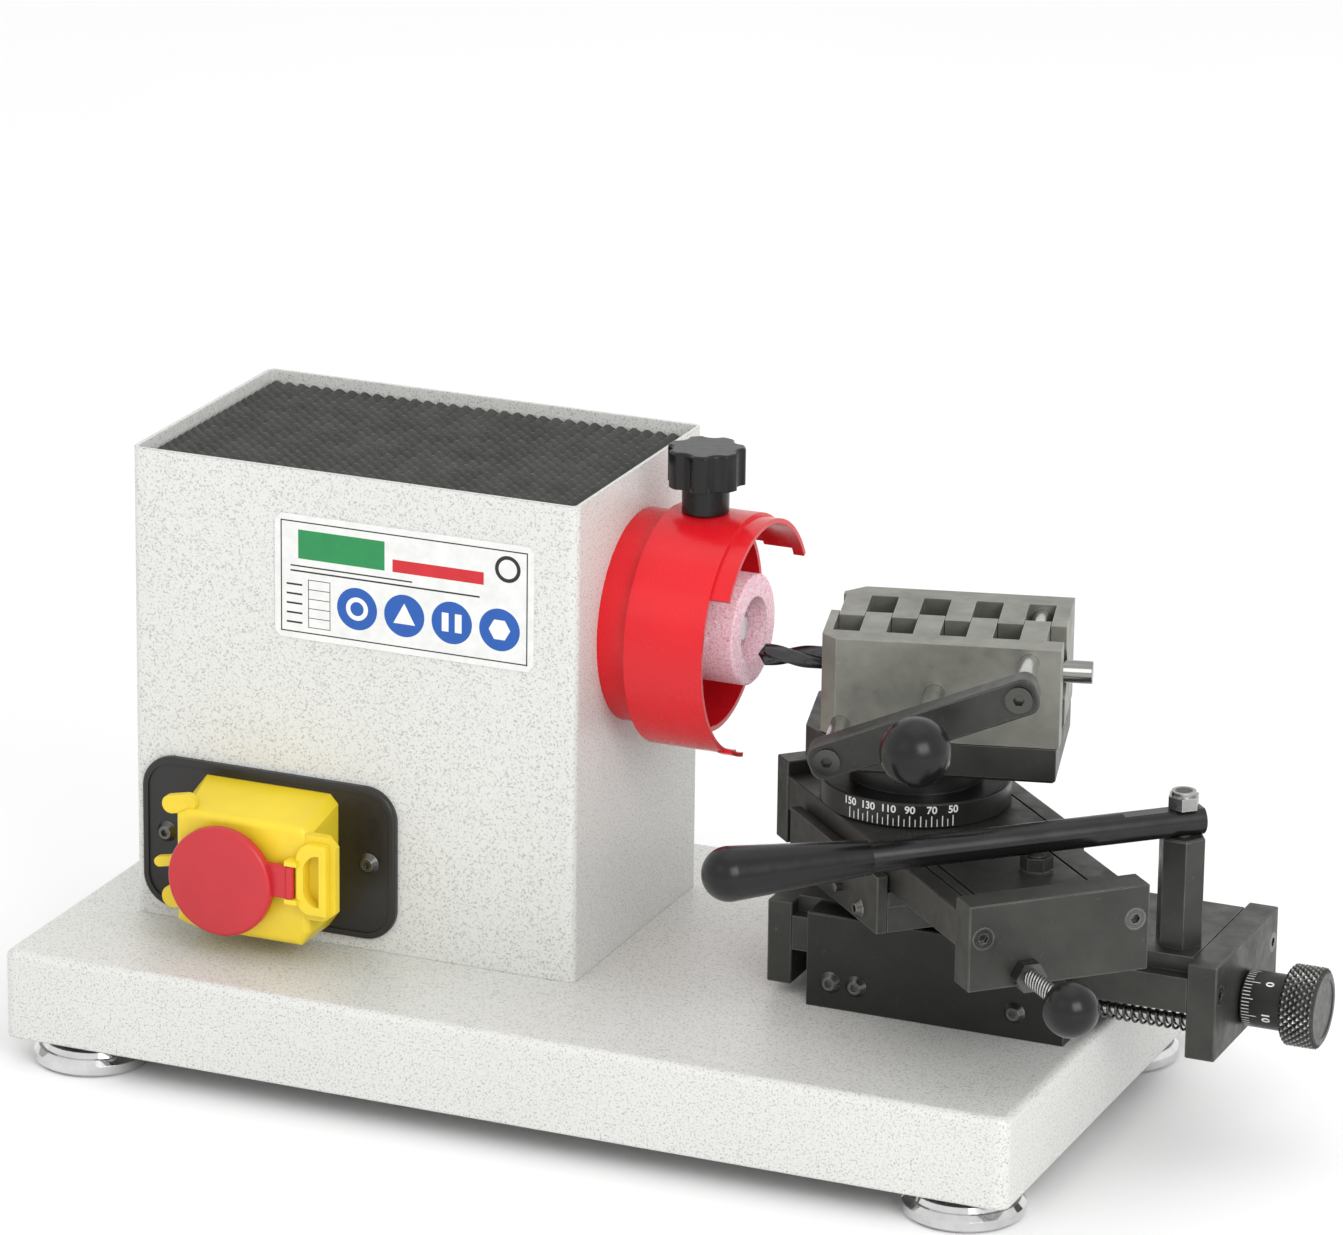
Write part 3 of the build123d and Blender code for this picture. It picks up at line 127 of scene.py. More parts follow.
# ---------------------------------------------------------------- materials
class Shader:
    """A node material being put together: object-space noise feeding one principled shader."""

    def __init__(self, name, base, rough, metallic=0.0, coat=0.0, spec=0.5):
        self.material = bpy.data.materials.new(name)
        self.material.use_nodes = True
        self.tree = self.material.node_tree
        self.shader = self.tree.nodes["Principled BSDF"]
        self.shader.inputs["Base Color"].default_value = (*base, 1)
        self.shader.inputs["Roughness"].default_value = rough
        self.shader.inputs["Metallic"].default_value = metallic
        self.shader.inputs["Coat Weight"].default_value = coat
        self.shader.inputs["Coat Roughness"].default_value = 0.08
        self.shader.inputs["Specular IOR Level"].default_value = spec
        self.coords = self.tree.nodes.new("ShaderNodeTexCoord").outputs["Object"]
        self.normal = None

    def link(self, a, b):
        self.tree.links.new(a, b)

    def noise(self, scale, detail=3.0, rough=0.5):
        node = self.tree.nodes.new("ShaderNodeTexNoise")
        node.inputs["Scale"].default_value = scale
        node.inputs["Detail"].default_value = detail
        node.inputs["Roughness"].default_value = rough
        self.link(self.coords, node.inputs["Vector"])
        return node.outputs["Fac"]

    def ramp(self, value, stops):
        node = self.tree.nodes.new("ShaderNodeValToRGB")
        ramp = node.color_ramp
        while len(ramp.elements) < len(stops):
            ramp.elements.new(0.5)
        for element, (place, colour) in zip(ramp.elements, stops):
            element.position = place
            element.color = (*colour, 1) if len(colour) == 3 else colour
        self.link(value, node.inputs["Fac"])
        return node.outputs["Color"]

    def remap(self, value, from_low, from_high, to_low, to_high):
        node = self.tree.nodes.new("ShaderNodeMapRange")
        for name, number in (("From Min", from_low), ("From Max", from_high), ("To Min", to_low),
                             ("To Max", to_high)):
            node.inputs[name].default_value = number
        self.link(value, node.inputs["Value"])
        return node.outputs["Result"]

    def mix(self, a, b, factor, blend="MIX"):
        node = self.tree.nodes.new("ShaderNodeMix")
        node.data_type = "RGBA"
        node.blend_type = blend
        for socket, value in ((node.inputs[6], a), (node.inputs[7], b), (node.inputs[0], factor)):
            if isinstance(value, (tuple, float, int)):
                socket.default_value = value
            else:
                self.link(value, socket)
        return node.outputs[2]

    def along(self, direction, origin):
        """Distance in metres of the shaded point from an origin, measured along a direction."""
        shift = self.tree.nodes.new("ShaderNodeVectorMath")
        shift.operation = "SUBTRACT"
        shift.inputs[1].default_value = origin
        self.link(self.coords, shift.inputs[0])
        dot = self.tree.nodes.new("ShaderNodeVectorMath")
        dot.operation = "DOT_PRODUCT"
        dot.inputs[1].default_value = Vector(direction).normalized()
        self.link(shift.outputs["Vector"], dot.inputs[0])
        return dot.outputs["Value"]

    def multiply(self, a, b):
        node = self.tree.nodes.new("ShaderNodeMath")
        node.operation = "MULTIPLY"
        for socket, value in zip(node.inputs, (a, b)):
            if isinstance(value, float):
                socket.default_value = value
            else:
                self.link(value, socket)
        return node.outputs["Value"]

    def edges(self, radius):
        """Mask that rises to one on the sharp edges of a part, where the rounded normal turns away."""
        bevel = self.tree.nodes.new("ShaderNodeBevel")
        bevel.samples = 4
        bevel.inputs["Radius"].default_value = radius
        geometry = self.tree.nodes.new("ShaderNodeNewGeometry")
        dot = self.tree.nodes.new("ShaderNodeVectorMath")
        dot.operation = "DOT_PRODUCT"
        self.link(bevel.outputs["Normal"], dot.inputs[0])
        self.link(geometry.outputs["Normal"], dot.inputs[1])
        return self.remap(dot.outputs["Value"], 0.985, 0.86, 0.0, 1.0)

    def colour(self, output):
        self.link(output, self.shader.inputs["Base Color"])

    def roughness(self, output):
        self.link(output, self.shader.inputs["Roughness"])

    def round_edges(self, radius):
        node = self.tree.nodes.new("ShaderNodeBevel")
        node.samples = 3
        node.inputs["Radius"].default_value = radius
        self.normal = node.outputs["Normal"]
        self.link(self.normal, self.shader.inputs["Normal"])

    def bump(self, height, strength, distance):
        node = self.tree.nodes.new("ShaderNodeBump")
        node.inputs["Strength"].default_value = strength
        node.inputs["Distance"].default_value = distance
        self.link(height, node.inputs["Height"])
        if self.normal is not None:
            self.link(self.normal, node.inputs["Normal"])
        self.normal = node.outputs["Normal"]
        self.link(self.normal, self.shader.inputs["Normal"])


def white_paint():
    """Textured white paint with small grey flecks."""
    s = Shader("white_paint", (0.74, 0.74, 0.72), 0.38, spec=0.45)
    fleck = s.ramp(s.noise(1000, 3.0, 0.6), [(0.0, (0.34, 0.34, 0.32)), (0.36, (0.44, 0.44, 0.42)),
                                             (0.46, (0.685, 0.69, 0.665)), (1.0, (0.745, 0.75, 0.725))])
    tone = s.ramp(s.noise(9, 2.0), [(0.3, (0.96, 0.96, 0.955)), (0.7, (1.0, 1.0, 1.0))])
    s.colour(s.mix(fleck, tone, 1.0, "MULTIPLY"))
    s.roughness(s.remap(s.noise(300, 2.0), 0.3, 0.7, 0.30, 0.46))
    s.round_edges(0.0012)
    s.bump(s.noise(420, 3.0, 0.6), 0.35, 0.0004)
    return s.material


def enamel(name, colour, rough=0.22):
    """Smooth sprayed paint with a slight wave."""
    s = Shader(name, colour, rough, coat=0.12, spec=0.28)
    shade = tuple(c * 0.82 for c in colour)
    s.colour(s.ramp(s.noise(14, 2.0), [(0.3, shade), (0.7, colour)]))
    s.roughness(s.remap(s.noise(120, 2.0), 0.3, 0.7, rough * 0.8, rough * 1.4))
    s.round_edges(0.0005)
    s.bump(s.noise(55, 2.0), 0.10, 0.0006)
    return s.material


def moulding(name, colour, rough, grain=0.12, spec=0.5):
    """Moulded plastic with a fine grain."""
    s = Shader(name, colour, rough, spec=spec)
    shade = tuple(c * 0.85 for c in colour)
    s.colour(s.ramp(s.noise(25, 3.0), [(0.3, shade), (0.7, colour)]))
    s.roughness(s.remap(s.noise(200, 2.0), 0.3, 0.7, rough * 0.85, min(1.0, rough * 1.2)))
    s.round_edges(0.0006)
    s.bump(s.noise(900, 2.0), grain, 0.0002)
    return s.material


def steel(name, colour, rough, metallic=0.9, wear_and_highlight=None, bump=0.12, zone=None):
    """Machined steel; the wear colour brightens edges, partly as rubbing wear and partly as a painted edge
    highlight, and zone gives another colour past a point along a direction.
    """
    s = Shader(name, colour, rough, metallic=metallic)
    dark = tuple(c * 0.72 for c in colour)
    mottled = s.ramp(s.noise(38, 5.0, 0.65), [(0.32, dark), (0.68, colour)])
    if zone:
        direction, origin, other = zone
        past = s.remap(s.along(direction, origin), 0.0, 0.0003, 0.0, 1.0)
        mottled = s.mix(mottled, (*other, 1), past)
    if wear_and_highlight:
        specks = s.remap(s.noise(260, 5.0, 0.7), 0.64, 0.74, 0.0, 0.35)
        mottled = s.mix(mottled, (*wear_and_highlight, 1), specks)
        # edge mask: partly real rubbing wear, partly a painted highlight along the sharp edges
        edge_wear_and_highlight = s.multiply(s.edges(0.0009), s.remap(s.noise(70, 3.0), 0.3, 0.6, 0.25, 1.0))
        mottled = s.mix(mottled, (*wear_and_highlight, 1), edge_wear_and_highlight)
    s.colour(mottled)
    s.roughness(s.remap(s.noise(90, 4.0, 0.6), 0.3, 0.7, rough * 0.75, min(1.0, rough * 1.3)))
    s.round_edges(0.0004)
    s.bump(s.noise(700, 3.0, 0.6), bump, 0.00012)
    return s.material


def threaded(name, colour, rough, axis, pitch, start=None):
    """Steel with thread ridges round a bar along an axis, past an optional starting point."""
    s = Shader(name, colour, rough, metallic=0.9)
    node = s.tree.nodes.new("ShaderNodeTexWave")
    node.wave_type = "BANDS"
    node.bands_direction = "X"
    node.wave_profile = "TRI"
    node.inputs["Scale"].default_value = 1.0
    mapping = s.tree.nodes.new("ShaderNodeMapping")
    mapping.inputs["Rotation"].default_value = (0, 0, -math.atan2(axis[1], axis[0]))
    mapping.inputs["Scale"].default_value = (TURN / (20 * pitch), 1, 1)
    s.link(s.coords, mapping.inputs["Vector"])
    s.link(mapping.outputs["Vector"], node.inputs["Vector"])
    # the grooves between the thread ridges are coloured darker: painted shade
    shade = tuple(c * 0.35 for c in colour)
    ridges = node.outputs["Fac"]
    tint = s.ramp(ridges, [(0.1, shade), (0.6, colour)])
    if start:
        past = s.remap(s.along((*axis, 0), start), 0.0, 0.0002, 0.0, 1.0)
        ridges = s.multiply(ridges, past)
        tint = s.mix((0.10, 0.10, 0.095, 1), tint, past)
    s.colour(tint)
    s.roughness(s.remap(s.noise(200, 2.0), 0.3, 0.7, rough * 0.8, rough * 1.2))
    s.bump(ridges, 1.0, 0.0007)
    return s.material


def knurl_steel():
    """Blackened steel whose raised points are lighter, as rubbing wear and a painted highlight, and whose
    valleys are painted darker as shade; height is the distance from the knob's axis.
    """
    s = Shader("knurl_steel", (0.10, 0.10, 0.10), 0.30, metallic=0.85)
    centre = middle("feed_knob")
    radius = (high("feed_knob").z - low("feed_knob").z) / 2
    flat = s.tree.nodes.new("ShaderNodeVectorMath")
    flat.operation = "MULTIPLY_ADD"
    flat.inputs[1].default_value = (0, 1, 1)
    flat.inputs[2].default_value = (0, -centre.y, -centre.z)
    s.link(s.coords, flat.inputs[0])
    length = s.tree.nodes.new("ShaderNodeVectorMath")
    length.operation = "LENGTH"
    s.link(flat.outputs["Vector"], length.inputs[0])
    height = s.remap(length.outputs["Value"], radius - 1.2 * MM, radius - 0.1 * MM, 0.0, 1.0)
    # colour by height: painted shade in the knurl valleys, painted highlight with rubbing wear on the points
    s.colour(s.ramp(height, [(0.0, (0.055, 0.055, 0.052)), (0.45, (0.10, 0.10, 0.095)),
                             (0.95, (0.42, 0.42, 0.40))]))
    s.roughness(s.remap(s.noise(300, 2.0), 0.3, 0.7, 0.24, 0.38))
    s.bump(s.noise(900, 2.0), 0.15, 0.0002)
    return s.material


def abrasive():
    """Pink grit, rough to the light."""
    s = Shader("abrasive_grain", (0.86, 0.50, 0.58), 0.85, spec=0.25)
    s.colour(s.ramp(s.noise(900, 3.0, 0.7), [(0.30, (0.70, 0.26, 0.38)), (0.43, (0.96, 0.55, 0.66)),
                                             (0.56, (1.0, 0.76, 0.82)), (0.70, (1.0, 0.95, 0.96))]))
    s.roughness(s.remap(s.noise(600, 2.0), 0.3, 0.7, 0.7, 0.95))
    s.round_edges(0.0012)
    s.bump(s.noise(1000, 3.0, 0.7), 0.9, 0.0007)
    return s.material


def rubber():
    """Dull black rubber of the mat."""
    s = Shader("mat_rubber", (0.055, 0.055, 0.052), 0.62, spec=0.35)
    s.colour(s.ramp(s.noise(60, 4.0), [(0.3, (0.040, 0.040, 0.038)), (0.7, (0.070, 0.070, 0.066))]))
    s.roughness(s.remap(s.noise(300, 2.0), 0.3, 0.7, 0.5, 0.72))
    s.bump(s.noise(1500, 2.0), 0.2, 0.0002)
    return s.material


def ink(name, colour, rough=0.45):
    """Flat printed colour, slightly uneven."""
    s = Shader(name, colour, rough, spec=0.4)
    shade = tuple(c * 0.9 for c in colour)
    s.colour(s.ramp(s.noise(200, 2.0), [(0.3, shade), (0.7, colour)]))
    s.roughness(s.remap(s.noise(400, 2.0), 0.3, 0.7, rough * 0.9, rough * 1.1))
    return s.material


THREAD_PITCH = 1.25 * MM
OUTWARD = VISE.to_3x3() @ Vector((0, -1, 0))
ALONG_DRILL = VISE.to_3x3() @ Vector((1, 0, 0))

PAINT = white_paint()
RED = enamel("red_enamel", (0.72, 0.012, 0.020))
BLACK_STEEL = steel("blackened_steel", (0.055, 0.055, 0.050), 0.42, 0.55, wear_and_highlight=(0.20, 0.20, 0.19))
# darker copy of the blackened steel for the feed block's cheeks, which sit in shade: painted shade
SHADED_CHEEK_STEEL = steel("cheek_steel_painted_shade", (0.024, 0.024, 0.022), 0.42, 0.45, wear_and_highlight=(0.14, 0.14, 0.13))
DIAL_STEEL = steel("dial_steel", (0.020, 0.020, 0.019), 0.34, 0.35, wear_and_highlight=(0.10, 0.10, 0.10))
JAW_STEEL = steel("jaw_steel", (0.285, 0.285, 0.250), 0.42, 0.70, wear_and_highlight=(0.40, 0.40, 0.37), bump=0.2)
DARK_SCREW = steel("screw_oxide", (0.13, 0.13, 0.125), 0.26, 0.9, wear_and_highlight=(0.35, 0.35, 0.34))
BRIGHT = steel("bright_steel", (0.60, 0.60, 0.59), 0.22, 1.0, bump=0.06)
NUT_STEEL = steel("nut_steel", (0.36, 0.36, 0.35), 0.24, 1.0, wear_and_highlight=(0.6, 0.6, 0.6), bump=0.06)
PINS = steel("pin_steel", (0.60, 0.60, 0.59), 0.20, 1.0, bump=0.05,
             zone=(OUTWARD, VISE @ Vector((0, -PIN_HEADS_FROM, 0)), (0.085, 0.085, 0.08)))
CHROME = steel("chrome_plate", (0.80, 0.80, 0.80), 0.09, 1.0, bump=0.02)
SPRING = steel("spring_wire", (0.10, 0.10, 0.10), 0.28, 0.9)
BRASS = steel("turned_brass", (0.72, 0.52, 0.20), 0.28, 1.0)
IRON = steel("laminated_iron", (0.30, 0.30, 0.31), 0.45, 0.9)
DRILL = steel("drill_oxide", (0.075, 0.075, 0.080), 0.20, 0.9, bump=0.04,
              zone=(ALONG_DRILL, VISE @ Vector((SHANK_FROM, 0, 0)), (0.26, 0.26, 0.245)))
LEVER_STEEL = steel("lever_steel", (0.040, 0.040, 0.042), 0.24, 0.8, bump=0.04)
MOTOR_PAINT = enamel("motor_enamel", (0.08, 0.09, 0.10), 0.4)
KNOB = moulding("phenolic_black", (0.007, 0.007, 0.007), 0.24, 0.03, spec=0.34)
PLATE_BLACK = moulding("plate_black", (0.014, 0.013, 0.013), 0.34, 0.10)
INNER = moulding("inner_plastic", (0.035, 0.035, 0.038), 0.5)
YELLOW = moulding("yellow_plastic", (0.88, 0.66, 0.03), 0.34, 0.06)
RED_PLASTIC = moulding("red_plastic", (0.56, 0.022, 0.032), 0.34, 0.05)
GREEN = moulding("green_plastic", (0.02, 0.30, 0.10), 0.35)
RUBBER = rubber()
WHEEL = abrasive()
LABEL = ink("label_base", (0.80, 0.81, 0.79), 0.32)
WHITE_INK = ink("white_ink", (0.85, 0.85, 0.83))
BLACK_INK = ink("black_ink", (0.02, 0.02, 0.02))
BLUE_INK = ink("blue_ink", (0.015, 0.10, 0.42))
GREEN_INK = ink("green_ink", (0.02, 0.26, 0.08))
RED_INK = ink("red_ink", (0.60, 0.02, 0.03))
STOP_THREAD = threaded("stop_thread", (0.55, 0.55, 0.54), 0.25, (1, -1), THREAD_PITCH,
                       CROSS @ Vector((LOCK_NUT_END, 0, 0)))
KNURL = knurl_steel()
FEED_THREAD = threaded("feed_thread", (0.35, 0.35, 0.35), 0.28, (1, 0), THREAD_PITCH)

LOOKS = {
    "base_pan": PAINT, "motor_box": PAINT, "foot_brackets": PAINT, "levelling_feet": CHROME,
    "guard_collar": RED, "guard_cap": RED, "grinding_wheel": WHEEL, "rotor_shaft": BRIGHT,
    "wheel_nut": BRIGHT,
    "motor_cradle": MOTOR_PAINT, "motor_casing": MOTOR_PAINT, "motor_bearings": BRIGHT, "motor_stator": IRON,
    "motor_rotor": IRON, "motor_electrics": INNER, "cable_gland": INNER, "cooling_fan": INNER,
    "switch_plate": PLATE_BLACK, "switch_body": INNER, "switch_housing": YELLOW, "stop_paddle": RED_PLASTIC,
    "stop_button": RED_PLASTIC, "start_button": GREEN, "button_screws": DARK_SCREW, "guard_knob": KNOB,
    "block_floor": BLACK_STEEL, "block_cheeks": SHADED_CHEEK_STEEL, "feed_nut": BRASS, "feed_slide": BLACK_STEEL,
    "feed_end_plates": BLACK_STEEL, "feed_unit_screws": DARK_SCREW, "guide_rods": BRIGHT,
    "return_springs": SPRING, "lever_post": BLACK_STEEL, "lever_nut": NUT_STEEL, "cross_guide": BLACK_STEEL,
    "guide_cheeks": BLACK_STEEL, "cross_gibs": BLACK_STEEL, "feed_screw": FEED_THREAD,
    "index_sleeve": DIAL_STEEL, "feed_knob": BLACK_STEEL, "hand_lever": LEVER_STEEL, "lever_grip": KNOB,
    "cross_slide": BLACK_STEEL, "cross_end_plates": BLACK_STEEL, "cross_plate_screws": DARK_SCREW,
    "follower_bolt": BLACK_STEEL, "stop_screw": STOP_THREAD, "stop_ball": KNOB, "swivel_dial": DIAL_STEEL,
    "vise_base": BLACK_STEEL, "rear_jaw": JAW_STEEL, "guide_pins": PINS, "bridge_bar": BLACK_STEEL,
    "front_jaw": JAW_STEEL, "clamp_screw": BRIGHT, "clamp_ball": KNOB, "rating_plate": LABEL,
}


def dress_cad():
    """Every CAD node gets its material."""
    for name, material in LOOKS.items():
        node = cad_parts[name]
        if not node.data.materials:
            node.data.materials.append(material)
        for i in range(len(node.material_slots)):
            node.material_slots[i].material = material


# ---------------------------------------------------------------- rubber mat
def rubber_mat():
    """Mat of blunt pyramids on a thin closed slab."""
    pitch = 6.7 * MM
    pyramid_height = 2.9 * MM
    top_from, top_to = 0.38, 0.62
    lo, hi = low("rubber_mat"), high("rubber_mat")
    nx, ny = round((hi.x - lo.x) / pitch), round((hi.y - lo.y) / pitch)
    dx, dy = (hi.x - lo.x) / nx, (hi.y - lo.y) / ny
    root = hi.z - pyramid_height
    verts, faces = [], []
    for j in range(ny + 1):
        for i in range(nx + 1):
            verts.append((lo.x + i * dx, lo.y + j * dy, root))
    for j in range(ny):
        for i in range(nx):
            near, far = j * (nx + 1) + i, (j + 1) * (nx + 1) + i
            corners = [near, near + 1, far + 1, far]
            first = len(verts)
            for u, v in ((top_from, top_from), (top_to, top_from), (top_to, top_to), (top_from, top_to)):
                verts.append((lo.x + (i + u) * dx, lo.y + (j + v) * dy, hi.z))
            tops = [first + k for k in range(4)]
            faces.append(tops)
            for k in range(4):
                faces.append((corners[k], corners[(k + 1) % 4], tops[(k + 1) % 4], tops[k]))
    edge = list(range(nx + 1))
    edge += [j * (nx + 1) + nx for j in range(1, ny + 1)]
    edge += [ny * (nx + 1) + i for i in range(nx - 1, -1, -1)]
    edge += [j * (nx + 1) for j in range(ny - 1, 0, -1)]
    first = len(verts)
    for k in edge:
        verts.append((verts[k][0], verts[k][1], lo.z))
    n = len(edge)
    for k in range(n):
        faces.append((edge[(k + 1) % n], edge[k], first + k, first + (k + 1) % n))
    faces.append([first + k for k in range(n - 1, -1, -1)])
    obj = mesh_object("pyramid_mat", verts, faces, "frame", RUBBER)
    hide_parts("rubber_mat")


# ---------------------------------------------------------------- flat print on plates
def prism(outline, depth, place):
    """Thin solid from a flat outline; place maps (u, v, height) to the row frame."""
    n = len(outline)
    verts = [place(u, v, 0.0) for u, v in outline] + [place(u, v, depth) for u, v in outline]
    faces = [tuple(range(n - 1, -1, -1)), tuple(range(n, 2 * n))]
    faces += [(k, (k + 1) % n, n + (k + 1) % n, n + k) for k in range(n)]
    return verts, faces


def join_shapes(name, shapes, body, material):
    """One mesh piece from several lists of points and faces."""
    verts, faces = [], []
    for v, f in shapes:
        base = len(verts)
        verts += v
        faces += [tuple(base + k for k in face) for face in f]
    return mesh_object(name, verts, faces, body, material)


def disc_outline(cx, cz, radius, n=40):
    """Regular outline with n corners; a disc where n is large."""
    return [(cx + radius * math.cos(TURN * k / n), cz + radius * math.sin(TURN * k / n)) for k in range(n)]


def bar(u0, v0, u1, v1):
    """Rectangle from its lower left and upper right corners."""
    return [(u0, v0), (u1, v0), (u1, v1), (u0, v1)]


def ring_shape(cx, cz, outer, inner, depth, place):
    """Flat printed ring."""
    n = 48
    verts, faces = [], []
    for radius in (outer, inner):
        for h in (0.0, depth):
            verts += [place(u, v, h) for u, v in disc_outline(cx, cz, radius, n)]
    for k in range(n):
        j = (k + 1) % n
        faces += [(n + k, n + j, 3 * n + j, 3 * n + k), (k, j, n + j, n + k),
                  (2 * n + j, 2 * n + k, 3 * n + k, 3 * n + j)]
    return verts, faces


INK_THICK = 0.05
BORDER, BORDER_LINE = 3, 0.6
TABLE_LEFT, TABLE_RIGHT, TABLE_LOW, TABLE_HIGH = 17, 28, 6, 29.35
TABLE_LINE, TABLE_PITCH = 0.35, 4.6
DISC_RADIUS, DISC_HEIGHT = 10.2, 18.5
DISC_CENTRES = (42, 66, 90, 114)


def plate_lines(wide, tall):
    """Border, empty table with its row marks and two long rules, in millimetres from the lower left."""
    inner = BORDER + BORDER_LINE
    right, top = wide - BORDER, tall - BORDER
    lines = [bar(BORDER, BORDER, right, inner), bar(BORDER, tall - inner, right, top),
             bar(BORDER, BORDER, inner, top), bar(wide - inner, BORDER, right, top)]
    for k in range(6):
        row = TABLE_LOW + TABLE_PITCH * k
        lines.append(bar(TABLE_LEFT, row, TABLE_RIGHT, row + TABLE_LINE))
        if k < 5:
            lines.append(bar(6, row + 1.4, 14, row + 2.3))
    for side in (TABLE_LEFT, TABLE_RIGHT):
        lines.append(bar(side, TABLE_LOW, side + TABLE_LINE, TABLE_HIGH))
    lines += [bar(8, 32.5, 104, 33.3), bar(8, 35, 70, 35.7)]
    return lines


def rating_plate():
    """Plain stand-in print: a border, two bars, an empty table and four discs with simple shapes."""
    lo, hi = low("rating_plate"), high("rating_plate")

    def place(u, v, h):
        return (lo.x + u * MM, lo.y + 0.0001 - (h + 0.08) * MM, lo.z + v * MM)

    def raised(u, v, h):
        return place(u, v, h + INK_THICK)

    def print_outlines(colour, outlines, material):
        shapes = [prism(outline, INK_THICK, place) for outline in outlines]
        join_shapes("plate_print_" + colour, shapes, "frame", material)

    shapes = [prism(line, INK_THICK, place) for line in plate_lines((hi.x - lo.x) / MM, (hi.z - lo.z) / MM)]
    shapes.append(ring_shape(118, 48, 6.4, 4.6, INK_THICK, place))
    join_shapes("plate_print_black", shapes, "frame", BLACK_INK)
    print_outlines("green", [bar(12, 39, 56, 53)], GREEN_INK)
    print_outlines("red", [bar(60, 39, 106, 45)], RED_INK)
    print_outlines("blue", [disc_outline(cx, DISC_HEIGHT, DISC_RADIUS) for cx in DISC_CENTRES], BLUE_INK)

    target, triangle, bars, hexagon = DISC_CENTRES
    marks = [ring_shape(target, DISC_HEIGHT, 5.6, 3.4, INK_THICK, raised)]
    for outline in ([(triangle - 5.5, 14.5), (triangle + 5.5, 14.5), (triangle, 24.5)],
                    bar(bars - 5, 14, bars - 1.6, 23), bar(bars + 1.6, 14, bars + 5, 23),
                    disc_outline(hexagon, DISC_HEIGHT, 5.4, 6)):
        marks.append(prism(outline, INK_THICK, raised))
    join_shapes("plate_print_white", marks, "frame", WHITE_INK)


# ---------------------------------------------------------------- numbers and graduations
def number_mesh(text, size):
    """Vertices and triangles of a generic number lying in the XY plane, centred on the origin."""
    curve = bpy.data.curves.new("digits", "FONT")
    curve.body = text
    curve.size = size
    curve.align_x = "CENTER"
    curve.align_y = "CENTER"
    curve.offset = size * 0.022
    obj = bpy.data.objects.new("digits", curve)
    bpy.context.scene.collection.objects.link(obj)
    bpy.context.view_layer.update()
    graph = bpy.context.evaluated_depsgraph_get()
    mesh = bpy.data.meshes.new_from_object(obj.evaluated_get(graph))
    verts = [tuple(v.co) for v in mesh.vertices]
    faces = [tuple(p.vertices) for p in mesh.polygons]
    bpy.data.objects.remove(obj)
    bpy.data.curves.remove(curve)
    bpy.data.meshes.remove(mesh)
    return verts, faces


def wrap(shape, place):
    """Flat shape bent onto a surface; place maps (x, y) to the row frame."""
    verts, faces = shape
    return [place(v[0], v[1]) for v in verts], faces


def strip(angle, half, radius, z0, z1, place_polar):
    """Graduation line on a round surface, from one height to another."""
    steps = 2
    verts, faces = [], []
    for k in range(steps + 1):
        a = angle - half + 2 * half * k / steps
        verts += [place_polar(a, radius, z0), place_polar(a, radius, z1)]
    for k in range(steps):
        faces.append((2 * k, 2 * k + 2, 2 * k + 3, 2 * k + 1))
    return verts, faces


PRINT_LIFT = 0.03 * MM


def dial_marks():
    """White scale of the swivel dial: a line every 5 and a number every 20."""
    centre = Vector((SWIVEL.x, SWIVEL.y, 0))
    radius = (high("swivel_dial").y - low("swivel_dial").y) / 2 + PRINT_LIFT
    base = low("swivel_dial").z
    ninety = math.radians(-72.6)
    per_unit = math.radians(13.1 / 20)

    def polar(a, r, z):
        return (centre.x + r * math.cos(a), centre.y + r * math.sin(a), z)

    shapes = []
    for value in range(50, 155, 5):
        a = ninety + (90 - value) * per_unit
        half, top = (0.0055, 6.0 * MM) if value % 10 == 0 else (0.0045, 4.4 * MM)
        shapes.append(strip(a, half, radius, base + 0.9 * MM, base + top, polar))
        if value % 20 == 10:
            def place(x, y, a=a):
                return polar(a + x / radius, radius, base + 8.7 * MM + y)
            shapes.append(wrap(number_mesh(str(value), 4.9 * MM), place))
    join_shapes("dial_marks", shapes, "swivel", WHITE_INK)


def sleeve_marks():
    """White scale of the feed sleeve: fifty lines and a number every ten."""
    divisions = 50
    axis = middle("index_sleeve")
    radius = (high("index_sleeve").z - low("index_sleeve").z) / 2 + PRINT_LIFT
    start = low("index_sleeve").x

    def at_angle(a, r, x):
        return (x, axis.y + r * math.cos(a), axis.z + r * math.sin(a))

    shapes = []
    zero = math.radians(125)
    for k in range(divisions):
        a = zero + TURN * k / divisions
        size = 7.0 if k % 10 == 0 else (5.2 if k % 5 == 0 else 3.6)
        shapes.append(strip(a, 0.012, radius, start + 1.6 * MM, start + (1.6 + size) * MM, at_angle))
    for k in range(0, divisions, 10):
        def place(x, y, a=zero + TURN * k / divisions):
            return at_angle(a + x / radius, radius, start + 13.0 * MM + y)
        shapes.append(wrap(number_mesh(str(k), 5.2 * MM), place))
    join_shapes("sleeve_marks", shapes, "feed_dial", WHITE_INK)


